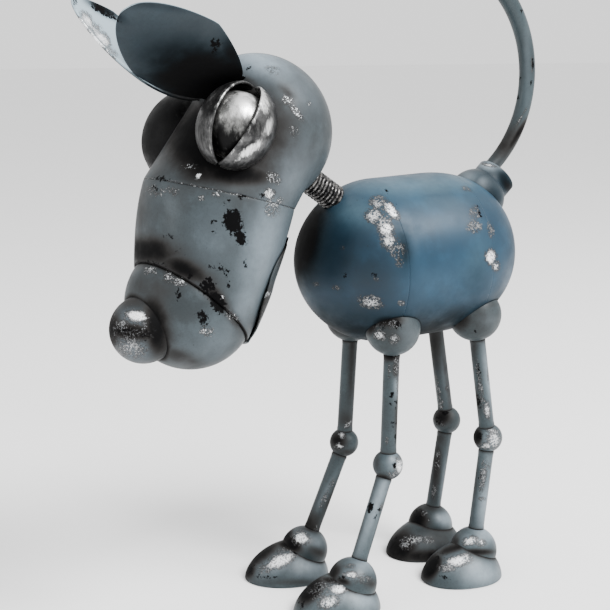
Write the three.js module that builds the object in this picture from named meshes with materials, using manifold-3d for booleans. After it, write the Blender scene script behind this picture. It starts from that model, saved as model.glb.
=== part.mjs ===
// Scrap metal dog sculpture: domed sheet steel body and head, ball joints, rod legs and a rod tail.
// Millimetres, +Z up. The dog faces -Y and its own left side is +X.
// The pieces are drawn in the dog's own frame, with x = 0 midway between its legs, y = 0 midway
// between its ankles and z = 0 on the ground. At the end the whole dog is moved so that the origin
// is under the middle of its bounding box.
import * as THREE from "three";
import { mergeVertices } from "three/addons/utils/BufferGeometryUtils.js";
import Module from "manifold-3d";

const wasm = await Module();
wasm.setup();

const DEG = Math.PI / 180;

// Clearance between pieces that are welded to each other.
const GAP = 0.3;

// Body: a short straight band between two deep domes, lying along Y and rising to the rear.
const BODY_RADIUS = 67.3;
const BODY_STRAIGHT = 48;
const FRONT_DEPTH = 70.3;
const REAR_DEPTH = 75;
const FRONT_POWER = 1.93;
const REAR_POWER = 2.28;
const BODY_Y = 6.1;
const BODY_Z = 280.5;
const BODY_TILT = 0.037;
const FRONT_SEAM = -36;
const REAR_SEAM = 46;
const DOME_STEPS = 6;
const BODY_SIDES = 26;

// Legs: a half-sunk hip ball, two rods with a knee ball between them, an ankle dome and a foot.
const ROD_RADIUS = 6.6;
const ROD_SIDES = 9;
const HIP_RADIUS = 22.3;
const KNEE_RADIUS = 12.5;
const ANKLE_RADIUS = 20.3;
const FRONT_LEG = { knee: [34.7, -27.5, 114.4], ankle: [40, -64.3, 21.4] };
const REAR_LEG = { knee: [30.4, 78.5, 120.1], ankle: [32.7, 64.4, 20.9] };

// Each foot is half an egg with a flat sole. Hips and feet are welded on by hand, and sit a
// little differently on each leg.
const FOOT = { toe: 43, heel: 31.3, halfWidth: 30.6, height: 31, power: 1.75, sides: 16, steps: 5 };
const LEGS = [
  { name: "front_left", side: 1, leg: FRONT_LEG, hip: [36.9, -26.1, 229.9], foot: [-1.6, -8], turn: -0.05 },
  { name: "front_right", side: -1, leg: FRONT_LEG, hip: [31.6, -22.9, 227.4], foot: [-2, -10.5], turn: -0.14 },
  { name: "rear_left", side: 1, leg: REAR_LEG, hip: [34.5, 57.6, 232], foot: [1.1, -8.2], turn: 0 },
  { name: "rear_right", side: -1, leg: REAR_LEG, hip: [31, 60.5, 230.8], foot: [2.5, -3], turn: 0.04 },
];

// Facets along and across the plates, and along the head's domes and face.
const LID_FACETS = [3, 8];
const EAR_FACETS = [4, 10];
const JAW_FACETS = [8, 8];
const HEAD_DOME_STEPS = 5;
const HEAD_FACE_STEPS = 3;

// Neck: a close-wound coil spring from the top of the front dome to the back of the head.
const SPRING_RADIUS = 9.5;
const SPRING_WIRE = 1.5;
const SPRING_PITCH = 3.4;
const SPRING_SIDES = 4;
const SPRING_STEPS = 6;
const SPRING_TOP = [0, -78.6, 346.2];
const SPRING_FOOT = [0, -62.4, 334.9];
// How far the coil is drawn on past its top and past its foot, before head and body cut it off.
const SPRING_REACH = 18;
const SPRING_OVERRUN = 4;

// Head: round sections that turn from the back of the skull down to the tip of the muzzle.
// Each section has its centre (forward and up from the spring's top), its tilt below forward
// and its radius.
const HEAD_TURN = 0.187;
const BROW = { forward: 55.9, up: 44, tilt: 0.382, radius: 58.1 };
const SEAM = { forward: 92.5, up: -1.9, tilt: 1.309, radius: 57.3 };
const CREASE = { forward: 120.7, up: -81.5, tilt: 0.804, radius: 50.6 };
const SKULL_DEPTH = 55.3;
const SNOUT_DEPTH = 49.2;
const SNOUT_RADIUS = 49.1;
const MUZZLE_BULGE = 0.047;
const HEAD_SIDES = 24;

const NOSE = { forward: 162.6, up: -95.1, radius: 25 };

// Eyes: a ball inside two curved lids, on an axis that leans back with the forehead. The lids are
// longer along that axis than across it.
const EYES = [
  { name: "left", side: 1, forward: 106.3, aside: 40, up: 51.2, radius: 31.2 },
  { name: "right", side: -1, forward: 89.9, aside: 49.5, up: 39.4, radius: 34.5 },
];
const EYE_AXIS = [-0.611, -0.141, 0.779];
const EYE_OUTWARD = [0.5, 0.68, 0.53];
const EYE_LONG = 1.075;
const EYE_WIDE = 0.905;
const LID_THICKNESS = 2;
const LID_OPENING = 30 * DEG;
const LID_REACH = 118 * DEG;
const LID_END = 4 * DEG;
const BALL_CLEARANCE = 3.4;

// Ears: leaf-shaped plates, cupped across and curling up along their length, and narrower on the
// side that faces the other ear.
const EAR = { length: 122.5, width: 72.7, widest: 0.549, spread: 0.676, power: 1.3, thickness: 1.6 };
const EAR_INNER_SHARE = 0.92;
const EAR_CUP_RADIUS = 90;
const EAR_CURL = 0.3;
const EAR_BURIED = 0.13;
const EARS = [
  { name: "left", side: 1, at: [12.6, -98.3, 75.9], splay: 0.537, rise: 0.194, lean: 0.972 },
  { name: "right", side: -1, at: [24.7, -101.3, 77.8], splay: -0.024, rise: 0.24, lean: 0.818 },
];

// Lower jaw: a thin curved plate under the muzzle.
const JAW = { start: 0.2, end: 0.99, wrap: 60 * DEG, mouth: 1.3, rise: 0.58, thickness: 1.2 };

// Tail: a rod bent to a round arc, in a cup on a small dome at the rear of the body.
const TAIL_CENTRE = [0, 33.8, 427];
const TAIL = { arc: 99.1, start: -58 * DEG, end: 68 * DEG, rootRadius: 6.2, tipRadius: 7.6 };
const TAIL_STEPS = 16;
const TAIL_SIDES = 9;
const SOCKET = { y: 81.3, z: 325.4, radius: 24.4 };
const CUP = { y: 102.6, z: 343, radius: 17.4, dome: 3.9, buried: 12, rise: 43 * DEG, sides: 16 };

// Paint and metal.
const paints = {
  body: new THREE.MeshStandardMaterial({ color: 0x3f6c8c, roughness: 0.45, metalness: 0.35 }),
  head: new THREE.MeshStandardMaterial({ color: 0x6a7d89, roughness: 0.5, metalness: 0.35 }),
  leg: new THREE.MeshStandardMaterial({ color: 0x5f7480, roughness: 0.5, metalness: 0.4 }),
  ear: new THREE.MeshStandardMaterial({ color: 0x2c353b, roughness: 0.55, metalness: 0.35 }),
  steel: new THREE.MeshStandardMaterial({ color: 0x9b9a97, roughness: 0.3, metalness: 0.95 }),
  spring: new THREE.MeshStandardMaterial({ color: 0x25272a, roughness: 0.4, metalness: 0.8 }),
};

// Joins equal vertices and drops triangles that have shrunk to a line.
function weld(geometry) {
  const bare = geometry.clone();
  bare.deleteAttribute("normal");
  bare.deleteAttribute("uv");
  const merged = mergeVertices(bare, 1e-4);
  const all = merged.index.array;
  const kept = [];
  for (let i = 0; i < all.length; i += 3) {
    const [a, b, c] = [all[i], all[i + 1], all[i + 2]];
    if (a !== b && b !== c && c !== a) kept.push(a, b, c);
  }
  merged.setIndex(kept);
  return merged;
}

// The solid of a geometry that stands where a mesh or group stands in the dog's frame.
function solidAt(place, geometry) {
  place.updateWorldMatrix(true, false);
  const moved = weld(geometry).applyMatrix4(place.matrixWorld);
  return new wasm.Manifold(
    new wasm.Mesh({
      numProp: 3,
      vertProperties: new Float32Array(moved.attributes.position.array),
      triVerts: new Uint32Array(moved.index.array),
    }),
  );
}

// Puts a solid of the dog's frame back into a mesh, in the mesh's own frame.
function shapeFrom(mesh, solid) {
  const raw = solid.getMesh();
  const geometry = new THREE.BufferGeometry();
  geometry.setAttribute("position", new THREE.BufferAttribute(new Float32Array(raw.vertProperties), 3));
  geometry.setIndex(new THREE.BufferAttribute(new Uint32Array(raw.triVerts), 1));
  geometry.applyMatrix4(mesh.matrixWorld.clone().invert());
  geometry.computeVertexNormals();
  mesh.geometry = geometry;
}

// Cuts other solids out of a mesh and keeps its largest body.
function trim(mesh, ...cutters) {
  let solid = solidAt(mesh, mesh.geometry);
  for (const cutter of cutters) solid = solid.subtract(cutter);
  const bodies = solid.decompose();
  bodies.sort((a, b) => b.volume() - a.volume());
  shapeFrom(mesh, bodies[0]);
}

function addMesh(parent, name, geometry, material, position = [0, 0, 0]) {
  const mesh = new THREE.Mesh(geometry, material);
  mesh.name = name;
  mesh.position.set(...position);
  parent.add(mesh);
  return mesh;
}

// A ball with more facets the larger it is.
function ball(radius) {
  const down = Math.round(4.6 + radius / 6);
  return new THREE.SphereGeometry(radius, 2 * down - 2, down);
}

// A closed form through rings of equal count, with a fan to a point at each end.
function loft(rings, firstPoint, lastPoint) {
  const count = rings[0].length;
  const points = [firstPoint, ...rings.flat(), lastPoint];
  const faces = [];
  for (let i = 0; i < count; i += 1) {
    const j = (i + 1) % count;
    faces.push(0, 1 + j, 1 + i);
    for (let r = 0; r + 1 < rings.length; r += 1) {
      const low = 1 + r * count;
      const high = low + count;
      faces.push(low + i, low + j, high + j, low + i, high + j, high + i);
    }
    const last = 1 + (rings.length - 1) * count;
    faces.push(points.length - 1, last + i, last + j);
  }
  const geometry = new THREE.BufferGeometry().setFromPoints(points);
  geometry.setIndex(faces);
  return geometry;
}

// A plate of even thickness on a surface given by u and v from 0 to 1. The surface's u direction
// crossed with its v direction points to the outer side.
function plate(surface, columns, rows, thickness) {
  const step = 1e-3;
  const points = [];
  for (const side of [0.5, -0.5]) {
    for (let r = 0; r <= rows; r += 1) {
      for (let c = 0; c <= columns; c += 1) {
        const [u, v] = [c / columns, r / rows];
        const alongU = surface(u + step, v).sub(surface(u - step, v));
        const alongV = surface(u, v + step).sub(surface(u, v - step));
        const outward = alongU.cross(alongV).normalize();
        points.push(surface(u, v).addScaledVector(outward, side * thickness));
      }
    }
  }
  const width = columns + 1;
  const back = width * (rows + 1);
  const faces = [];
  const quad = (a, b, c, d) => faces.push(a, b, c, a, c, d);
  for (let r = 0; r < rows; r += 1) {
    for (let c = 0; c < columns; c += 1) {
      const a = r * width + c;
      quad(a, a + 1, a + 1 + width, a + width);
      quad(back + a, back + a + width, back + a + 1 + width, back + a + 1);
    }
  }
  for (let c = 0; c < columns; c += 1) {
    const top = rows * width + c;
    quad(c, back + c, back + c + 1, c + 1);
    quad(top, top + 1, back + top + 1, back + top);
  }
  for (let r = 0; r < rows; r += 1) {
    const left = r * width;
    const right = left + columns;
    quad(left, left + width, back + left + width, back + left);
    quad(right, back + right, back + right + width, right + width);
  }
  const geometry = new THREE.BufferGeometry().setFromPoints(points);
  geometry.setIndex(faces);
  return geometry;
}

// Body radius at a place along its axis, with both domes as super-ellipses.
function bodyRadius(along, grow) {
  const [depth, power] = along < 0 ? [FRONT_DEPTH, FRONT_POWER] : [REAR_DEPTH, REAR_POWER];
  const beyond = Math.max(0, Math.abs(along) - BODY_STRAIGHT / 2) / (depth + grow);
  return (BODY_RADIUS + grow) * Math.max(0, 1 - beyond ** power) ** (1 / power);
}

// Places along the body's axis where its outline has a corner, seams included.
function bodyStations(grow) {
  const stations = [FRONT_SEAM, REAR_SEAM];
  for (let i = -DOME_STEPS; i <= DOME_STEPS; i += 1) {
    const [depth, power] = i < 0 ? [FRONT_DEPTH, FRONT_POWER] : [REAR_DEPTH, REAR_POWER];
    const rise = Math.sin((Math.abs(i) / DOME_STEPS) * 90 * DEG) ** (2 / power);
    stations.push(Math.sign(i) * (BODY_STRAIGHT / 2 + (depth + grow) * rise));
  }
  return stations.sort((a, b) => a - b);
}

// The stretch of the body between two places on its axis, turned around Y.
function bodyGeometry(first, last, grow = 0) {
  const inside = bodyStations(grow).filter((t) => t > first + 1 && t < last - 1);
  const profile = [first, ...inside, last].map((t) => new THREE.Vector2(bodyRadius(t, grow), t));
  const ends = [new THREE.Vector2(0, first), new THREE.Vector2(0, last)];
  const points = [ends[0], ...profile.filter((p) => p.x > 0.01), ends[1]];
  return new THREE.LatheGeometry(points, BODY_SIDES);
}

function wholeBody(grow) {
  const half = BODY_STRAIGHT / 2 + grow;
  return bodyGeometry(-half - FRONT_DEPTH, half + REAR_DEPTH, grow);
}

// A point of a round head section: the angle runs from the dog's left side over the top.
function onSection(section, angle) {
  const across = section.radius * Math.cos(angle);
  const over = section.radius * Math.sin(angle);
  const y = -section.forward - over * Math.sin(section.tilt);
  return new THREE.Vector3(across, y, section.up + over * Math.cos(section.tilt));
}

// The same section moved along its own axis and given a share of its radius.
function moved(section, along, share = 1) {
  return {
    forward: section.forward + along * Math.cos(section.tilt),
    up: section.up - along * Math.sin(section.tilt),
    tilt: section.tilt,
    radius: section.radius * share,
  };
}

function centreOf(section) {
  return new THREE.Vector3(0, -section.forward, section.up);
}

const HEAD_ANGLES = Array.from({ length: HEAD_SIDES }, (_, i) => (i / HEAD_SIDES) * 360 * DEG);

function ringOf(section) {
  return HEAD_ANGLES.map((angle) => onSection(section, angle));
}

// A point between two sections, at a share of the way and an angle round them. The form bulges
// a little midway.
function onMuzzle(first, last, t, angle, grow = 0) {
  const middle = centreOf(first).lerp(centreOf(last), t);
  const point = onSection(first, angle).lerp(onSection(last, angle), t).sub(middle);
  const swell = point.length() * MUZZLE_BULGE * 4 * t * (1 - t);
  return point.setLength(point.length() + swell + grow).add(middle);
}

// Rings drawn straight from one section to another.
function between(first, last, steps) {
  const shares = Array.from({ length: steps + 1 }, (_, i) => i / steps);
  return shares.map((t) => ringOf(first).map((p, k) => p.lerp(ringOf(last)[k], t)));
}

// Rings of a dome that closes a section: its depth is negative where it reaches backwards.
function domeRings(section, depth, steps) {
  const angles = Array.from({ length: steps - 1 }, (_, i) => ((i + 1) / steps) * 90 * DEG);
  return angles.map((a) => ringOf(moved(section, depth * Math.sin(a), Math.cos(a))));
}

function grown(section, by) {
  return { ...section, radius: section.radius + by };
}

function skullGeometry(grow = 0) {
  const brow = grown(BROW, grow);
  const seam = moved(grown(SEAM, grow), grow - GAP / 2);
  const back = domeRings(brow, -SKULL_DEPTH - grow, HEAD_DOME_STEPS).reverse();
  const pole = centreOf(moved(BROW, -SKULL_DEPTH - grow));
  return loft([...back, ...between(brow, seam, HEAD_FACE_STEPS)], pole, centreOf(seam));
}

function muzzleGeometry(grow = 0) {
  const seam = moved(SEAM, GAP / 2 - grow);
  const crease = moved(CREASE, grow - GAP / 2);
  const shares = [0, 0.25, 0.5, 0.75, 1];
  const rings = shares.map((t) => HEAD_ANGLES.map((angle) => onMuzzle(seam, crease, t, angle, grow)));
  return loft(rings, centreOf(seam), centreOf(crease));
}

function snoutGeometry(grow = 0) {
  const rim = moved({ ...CREASE, radius: SNOUT_RADIUS + grow }, GAP / 2 - grow);
  const pole = centreOf(moved(CREASE, SNOUT_DEPTH + grow));
  return loft([ringOf(rim), ...domeRings(rim, SNOUT_DEPTH + grow, HEAD_DOME_STEPS)], centreOf(rim), pole);
}

// Under side of the muzzle as one sheet: u runs from the dog's right to its left, v from the
// throat to the chin. It draws in at both ends, stands a little further off below the mouth and
// closes on the muzzle again at the chin.
function jawSurface(u, v) {
  const wrap = JAW.wrap * Math.max(0.3, 1 - Math.abs(2 * v - 1) ** 3) ** 0.5;
  const angle = -90 * DEG + (2 * u - 1) * wrap;
  const t = JAW.start + (JAW.end - JAW.start) * v;
  const standOff = (JAW.mouth * Math.min(1, 8 * (1 - v))) / (1 + Math.exp((JAW.rise - t) * 40));
  return onMuzzle(SEAM, CREASE, t, angle, 2.5 * GAP + JAW.thickness / 2 + standOff);
}

// Turns a direction of the left side (forward, aside, up) into the head's frame.
function headDirection([forward, aside, up], side) {
  return new THREE.Vector3(side * aside, -forward, up).normalize();
}

// One eyelid: part of an egg's shell between two half ellipses that meet at the eye's poles.
function lidSurface(eye, handed) {
  const axis = headDirection(EYE_AXIS, eye.side);
  const outward = headDirection(EYE_OUTWARD, eye.side);
  outward.addScaledVector(axis, -outward.dot(axis)).normalize();
  const across = new THREE.Vector3().crossVectors(axis, outward);
  const long = eye.radius * EYE_LONG - LID_THICKNESS / 2;
  const wide = eye.radius * EYE_WIDE - LID_THICKNESS / 2;
  return (u, v) => {
    const pole = LID_END + v * (180 * DEG - 2 * LID_END);
    const turn = handed * (LID_OPENING + (handed > 0 ? u : 1 - u) * (LID_REACH - LID_OPENING));
    const flat = outward.clone().multiplyScalar(Math.cos(turn));
    flat.addScaledVector(across, Math.sin(turn));
    const point = axis.clone().multiplyScalar(-Math.cos(pole) * long);
    return point.addScaledVector(flat, Math.sin(pole) * wide);
  };
}

// The whole egg that both lids of an eye lie on.
function eggGeometry(eye, grow) {
  const long = EYE_LONG + grow / eye.radius;
  const wide = EYE_WIDE + grow / eye.radius;
  const upright = new THREE.Vector3(0, 1, 0);
  const turn = new THREE.Quaternion().setFromUnitVectors(upright, headDirection(EYE_AXIS, eye.side));
  return ball(eye.radius).scale(wide, long, wide).applyQuaternion(turn);
}

// Half the ear's width at a share of its length.
function earHalfWidth(share) {
  const { widest, spread, power, width } = EAR;
  const s = Math.max(0, share);
  const away = s > widest ? (s - widest) / (1 - widest) : (widest - s) / spread;
  return (width / 2) * Math.sqrt(Math.max(0, 1 - away ** power));
}

// The ear's sheet: v runs from the part sunk in the skull to the tip, u across it.
function earSurface(ear) {
  const { side, splay, rise, lean } = ear;
  const flat = Math.cos(rise);
  const along = headDirection([flat * Math.cos(splay), flat * Math.sin(splay), Math.sin(rise)], side);
  const aside = new THREE.Vector3(side, 0, 0);
  aside.addScaledVector(along, -aside.dot(along)).normalize();
  const over = new THREE.Vector3().crossVectors(along, aside);
  if (over.z < 0) over.negate();
  const across = over.clone().multiplyScalar(Math.cos(lean)).addScaledVector(aside, Math.sin(lean));
  const inward = over.clone().multiplyScalar(Math.sin(lean)).addScaledVector(aside, -Math.cos(lean));
  return (u, v) => {
    const reach = 1 - (1 - Math.min(v, 1)) ** 1.6;
    const share = -EAR_BURIED + (0.992 + EAR_BURIED) * reach + Math.max(0, v - 1);
    const outer = side * (1 - 2 * u);
    const width = earHalfWidth(Math.min(share, 0.992)) * (outer < 0 ? EAR_INNER_SHARE : 1);
    const bow = (outer * width) / EAR_CUP_RADIUS;
    const cup = EAR_CUP_RADIUS * (1 - Math.cos(bow));
    const curl = EAR_CURL * EAR.length * Math.max(0, share) ** 2;
    const point = along.clone().multiplyScalar(share * EAR.length);
    point.addScaledVector(across, EAR_CUP_RADIUS * Math.sin(bow));
    return point.addScaledVector(inward, cup + curl);
  };
}

// A foot: a quarter-turned super-ellipse spun round Z, then drawn out to toe and heel.
function footGeometry(grow = 0) {
  const profile = [new THREE.Vector2(0, -grow), new THREE.Vector2(1, -grow)];
  for (let i = grow > 0 ? 0 : 1; i < FOOT.steps; i += 1) {
    const angle = (i / FOOT.steps) * 90 * DEG;
    const share = [Math.cos(angle), Math.sin(angle)].map((c) => c ** (2 / FOOT.power));
    profile.push(new THREE.Vector2(...share));
  }
  profile.push(new THREE.Vector2(0, 1));
  const geometry = new THREE.LatheGeometry(profile, FOOT.sides).rotateX(90 * DEG);
  const at = geometry.attributes.position;
  for (let i = 0; i < at.count; i += 1) {
    const length = at.getY(i) < 0 ? FOOT.toe : FOOT.heel;
    const height = at.getZ(i) < 0 ? 1 : FOOT.height + grow;
    const [x, y, z] = [at.getX(i), at.getY(i), at.getZ(i)];
    at.setXYZ(i, x * (FOOT.halfWidth + grow), y * (length + grow), z * height);
  }
  return geometry;
}

// A round rod between two points, as a cylinder turned to their line.
function addRod(parent, name, from, to, material) {
  const start = new THREE.Vector3(...from);
  const line = new THREE.Vector3(...to).sub(start);
  const shape = new THREE.CylinderGeometry(ROD_RADIUS, ROD_RADIUS, line.length(), ROD_SIDES);
  const mesh = addMesh(parent, name, shape, material);
  mesh.position.copy(start).addScaledVector(line, 0.5);
  mesh.quaternion.setFromUnitVectors(new THREE.Vector3(0, 1, 0), line.clone().normalize());
  return mesh;
}

class Coil extends THREE.Curve {
  constructor(length) {
    super();
    this.length = length;
  }

  getPoint(t, target = new THREE.Vector3()) {
    const along = t * this.length;
    const angle = (along / SPRING_PITCH) * 360 * DEG;
    return target.set(SPRING_RADIUS * Math.cos(angle), along, SPRING_RADIUS * Math.sin(angle));
  }
}

// A ring square to the tail's arc, round a place given by its angle on the arc.
function arcRing(angle, radius) {
  const outward = new THREE.Vector3(0, Math.cos(angle), Math.sin(angle));
  const centre = outward.clone().multiplyScalar(TAIL.arc);
  return Array.from({ length: TAIL_SIDES }, (_, i) => {
    const turn = (i / TAIL_SIDES) * 360 * DEG;
    const point = centre.clone().addScaledVector(outward, radius * Math.sin(turn));
    return point.setX(radius * Math.cos(turn));
  });
}

function arcPoint(angle) {
  return new THREE.Vector3(0, TAIL.arc * Math.cos(angle), TAIL.arc * Math.sin(angle));
}

// The tail thickens evenly from its root and ends in a round tip.
function tailGeometry(grow = 0) {
  const rings = [];
  for (let i = 0; i <= TAIL_STEPS; i += 1) {
    const t = i / TAIL_STEPS;
    const radius = TAIL.rootRadius + t * (TAIL.tipRadius - TAIL.rootRadius) + grow;
    rings.push(arcRing(TAIL.start + t * (TAIL.end - TAIL.start), radius));
  }
  const reach = (TAIL.tipRadius + grow) / TAIL.arc;
  for (const turn of [30 * DEG, 60 * DEG]) {
    const radius = (TAIL.tipRadius + grow) * Math.cos(turn);
    rings.push(arcRing(TAIL.end + reach * Math.sin(turn), radius));
  }
  return loft(rings, arcPoint(TAIL.start), arcPoint(TAIL.end + reach));
}

// The cup is a short cylinder with a domed top, turned round its own axis.
function cupGeometry(grow = 0) {
  const bottom = -CUP.buried - grow;
  const profile = [new THREE.Vector2(0, bottom), new THREE.Vector2(CUP.radius + grow, bottom)];
  for (const turn of [0, 30, 60, 90]) {
    const across = (CUP.radius + grow) * Math.cos(turn * DEG);
    profile.push(new THREE.Vector2(Math.max(0, across), (CUP.dome + grow) * Math.sin(turn * DEG)));
  }
  return new THREE.LatheGeometry(profile, CUP.sides).rotateX(CUP.rise);
}

function roundShape(radius, sides) {
  const corners = Array.from({ length: sides }, (_, i) => {
    const angle = (i / sides) * 360 * DEG;
    return new THREE.Vector2(radius * Math.cos(angle), radius * Math.sin(angle));
  });
  return new THREE.Shape(corners);
}

function sweep(curve, radius, sides, steps) {
  const options = { steps, bevelEnabled: false, extrudePath: curve };
  return new THREE.ExtrudeGeometry(roundShape(radius, sides), options);
}

const dog = new THREE.Group();

function addBody() {
  const group = new THREE.Group();
  group.position.set(0, BODY_Y, BODY_Z);
  group.rotation.x = BODY_TILT;
  dog.add(group);
  const front = -BODY_STRAIGHT / 2 - FRONT_DEPTH;
  const rear = BODY_STRAIGHT / 2 + REAR_DEPTH;
  const half = GAP / 2;
  addMesh(group, "body_front_dome", bodyGeometry(front, FRONT_SEAM - half), paints.body);
  addMesh(group, "body_middle_band", bodyGeometry(FRONT_SEAM + half, REAR_SEAM - half), paints.body);
  addMesh(group, "body_rear_dome", bodyGeometry(REAR_SEAM + half, rear), paints.body);
  return group;
}

function addLeg({ name, side, hip: hipPlace, leg, foot: [footX, footY], turn }, bodyCutter) {
  const [hipAt, kneeAt, ankleAt] = [hipPlace, leg.knee, leg.ankle].map(([x, y, z]) => [side * x, y, z]);
  const hip = addMesh(dog, `hip_${name}`, ball(HIP_RADIUS), paints.leg, hipAt);
  const knee = addMesh(dog, `knee_${name}`, ball(KNEE_RADIUS), paints.leg, kneeAt);
  const ankle = addMesh(dog, `ankle_${name}`, ball(ANKLE_RADIUS), paints.leg, ankleAt);
  const foot = addMesh(dog, `foot_${name}`, footGeometry(), paints.leg);
  foot.position.set(ankleAt[0] + footX, ankleAt[1] + footY, 0);
  foot.rotation.z = turn;
  const upper = addRod(dog, `upper_leg_${name}`, hipAt, kneeAt, paints.leg);
  const lower = addRod(dog, `lower_leg_${name}`, kneeAt, ankleAt, paints.leg);
  const kneeCutter = solidAt(knee, ball(KNEE_RADIUS + GAP));
  const footCutter = solidAt(foot, footGeometry(GAP));
  trim(upper, solidAt(hip, ball(HIP_RADIUS + GAP)), bodyCutter, kneeCutter);
  trim(lower, solidAt(ankle, ball(ANKLE_RADIUS + GAP)), kneeCutter, footCutter);
  trim(ankle, footCutter);
  trim(hip, bodyCutter);
}

function addEye(head, eye, skullCutter) {
  const place = [eye.side * eye.aside, -eye.forward, eye.up];
  const shape = ball(eye.radius * EYE_WIDE - BALL_CLEARANCE);
  const eyeball = addMesh(head, `eyeball_${eye.name}`, shape, paints.steel, place);
  trim(eyeball, skullCutter);
  for (const [lid, handed] of [["front", -1], ["rear", 1]]) {
    const shell = plate(lidSurface(eye, handed), ...LID_FACETS, LID_THICKNESS);
    const mesh = addMesh(head, `eyelid_${lid}_${eye.name}`, shell, paints.steel, place);
    trim(mesh, skullCutter);
  }
}

function earGeometry(ear, grow = 0) {
  return plate(earSurface(ear), ...EAR_FACETS, EAR.thickness + 2 * grow);
}

// Adds an ear and returns a slightly thicker copy of it, to keep the other ear clear of it.
function addEar(head, ear, cutters) {
  const [x, y, z] = ear.at;
  const mesh = addMesh(head, `ear_${ear.name}`, earGeometry(ear), paints.ear, [ear.side * x, y, z]);
  const clearance = solidAt(mesh, earGeometry(ear, GAP));
  trim(mesh, ...cutters);
  return clearance;
}

function addHead() {
  const head = new THREE.Group();
  head.position.set(...SPRING_TOP);
  head.rotation.z = HEAD_TURN;
  dog.add(head);
  addMesh(head, "skull", skullGeometry(), paints.head);
  addMesh(head, "muzzle", muzzleGeometry(), paints.head);
  addMesh(head, "snout_dome", snoutGeometry(), paints.head);
  const skullCutter = solidAt(head, skullGeometry(GAP));
  const muzzleCutter = solidAt(head, muzzleGeometry(GAP));
  const snoutCutter = solidAt(head, snoutGeometry(GAP));
  const nose = addMesh(head, "nose_ball", ball(NOSE.radius), paints.head, [0, -NOSE.forward, NOSE.up]);
  trim(nose, snoutCutter, muzzleCutter);
  const jaw = addMesh(head, "lower_jaw", plate(jawSurface, ...JAW_FACETS, JAW.thickness), paints.head);
  trim(jaw, skullCutter, muzzleCutter, snoutCutter);
  for (const eye of EYES) addEye(head, eye, skullCutter);
  const eyeCutters = EYES.map((eye) => {
    const around = new THREE.Object3D();
    around.position.set(eye.side * eye.aside, -eye.forward, eye.up);
    head.add(around);
    const cutter = solidAt(around, eggGeometry(eye, GAP));
    head.remove(around);
    return cutter;
  });
  const clearance = addEar(head, EARS[1], [skullCutter, ...eyeCutters]);
  addEar(head, EARS[0], [skullCutter, ...eyeCutters, clearance]);
  return skullCutter;
}

// The coil runs on into the head and the body, which cut it off at both ends.
function addSpring(cutters) {
  const top = new THREE.Vector3(...SPRING_TOP);
  const axis = new THREE.Vector3(...SPRING_FOOT).sub(top);
  const length = axis.length() + SPRING_REACH + SPRING_OVERRUN;
  axis.normalize();
  const steps = Math.round((length / SPRING_PITCH) * SPRING_STEPS);
  const wire = sweep(new Coil(length), SPRING_WIRE, SPRING_SIDES, steps);
  const spring = addMesh(dog, "neck_spring", wire, paints.spring);
  spring.position.copy(top).addScaledVector(axis, -SPRING_REACH);
  spring.quaternion.setFromUnitVectors(new THREE.Vector3(0, 1, 0), axis);
  trim(spring, ...cutters);
}

function addTail(bodyCutter) {
  const socketAt = [0, SOCKET.y, SOCKET.z];
  const socket = addMesh(dog, "tail_socket_dome", ball(SOCKET.radius), paints.body, socketAt);
  const cup = addMesh(dog, "tail_cup", cupGeometry(), paints.body, [0, CUP.y, CUP.z]);
  const tail = addMesh(dog, "tail", tailGeometry(), paints.leg, TAIL_CENTRE);
  const socketCutter = solidAt(socket, ball(SOCKET.radius + GAP));
  trim(tail, solidAt(cup, cupGeometry(GAP)), socketCutter, bodyCutter);
  trim(cup, socketCutter, bodyCutter);
  trim(socket, bodyCutter);
}

const bodyGroup = addBody();
const bodyCutter = solidAt(bodyGroup, wholeBody(GAP));
for (const leg of LEGS) addLeg(leg, bodyCutter);
const skullCutter = addHead();
addSpring([skullCutter, bodyCutter]);
addTail(bodyCutter);

// The origin goes under the middle of the bounding box.
const box = new THREE.Box3().setFromObject(dog, true);
const middle = box.getCenter(new THREE.Vector3());
dog.position.set(-middle.x, -middle.y, -box.min.z);

export default dog;
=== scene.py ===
"""Looks of a scrap metal dog sculpture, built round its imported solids.

Shapes are worked out in millimetres in the dog's own frame: x = 0 midway between its legs, y = 0
midway between its ankles, z = 0 on the ground, the dog facing -Y with its own left side at +X.
They are shifted to the frame of the solids, in metres, when they are put into a mesh.
"""

import math

import bpy
import numpy as np
from mathutils import Matrix, Vector


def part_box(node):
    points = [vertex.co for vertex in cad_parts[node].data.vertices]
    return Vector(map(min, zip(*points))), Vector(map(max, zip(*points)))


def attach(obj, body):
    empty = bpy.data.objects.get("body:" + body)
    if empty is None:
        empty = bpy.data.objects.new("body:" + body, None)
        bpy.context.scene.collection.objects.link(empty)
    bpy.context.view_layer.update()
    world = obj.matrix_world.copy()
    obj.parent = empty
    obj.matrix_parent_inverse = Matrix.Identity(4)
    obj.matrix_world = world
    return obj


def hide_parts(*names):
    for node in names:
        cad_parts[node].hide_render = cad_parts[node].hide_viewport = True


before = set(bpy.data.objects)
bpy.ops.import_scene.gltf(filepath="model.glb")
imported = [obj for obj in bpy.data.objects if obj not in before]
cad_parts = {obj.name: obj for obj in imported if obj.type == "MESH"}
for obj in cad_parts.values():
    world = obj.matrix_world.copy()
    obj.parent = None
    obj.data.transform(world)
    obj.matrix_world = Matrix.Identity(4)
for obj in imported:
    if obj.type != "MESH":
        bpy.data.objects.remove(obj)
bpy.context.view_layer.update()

bl_info = {
    "name": "Scrap metal dog",
    "version": (1, 0, 0),
    "blender": (4, 5, 0),
    "location": "3D Viewport > Sidebar > Dog",
    "description": "Builds the painted and worn surfaces of a welded dog round its solids",
    "category": "Add Mesh",
}

MM = 0.001
DEG = math.pi / 180
TINY = 1e-12

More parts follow.
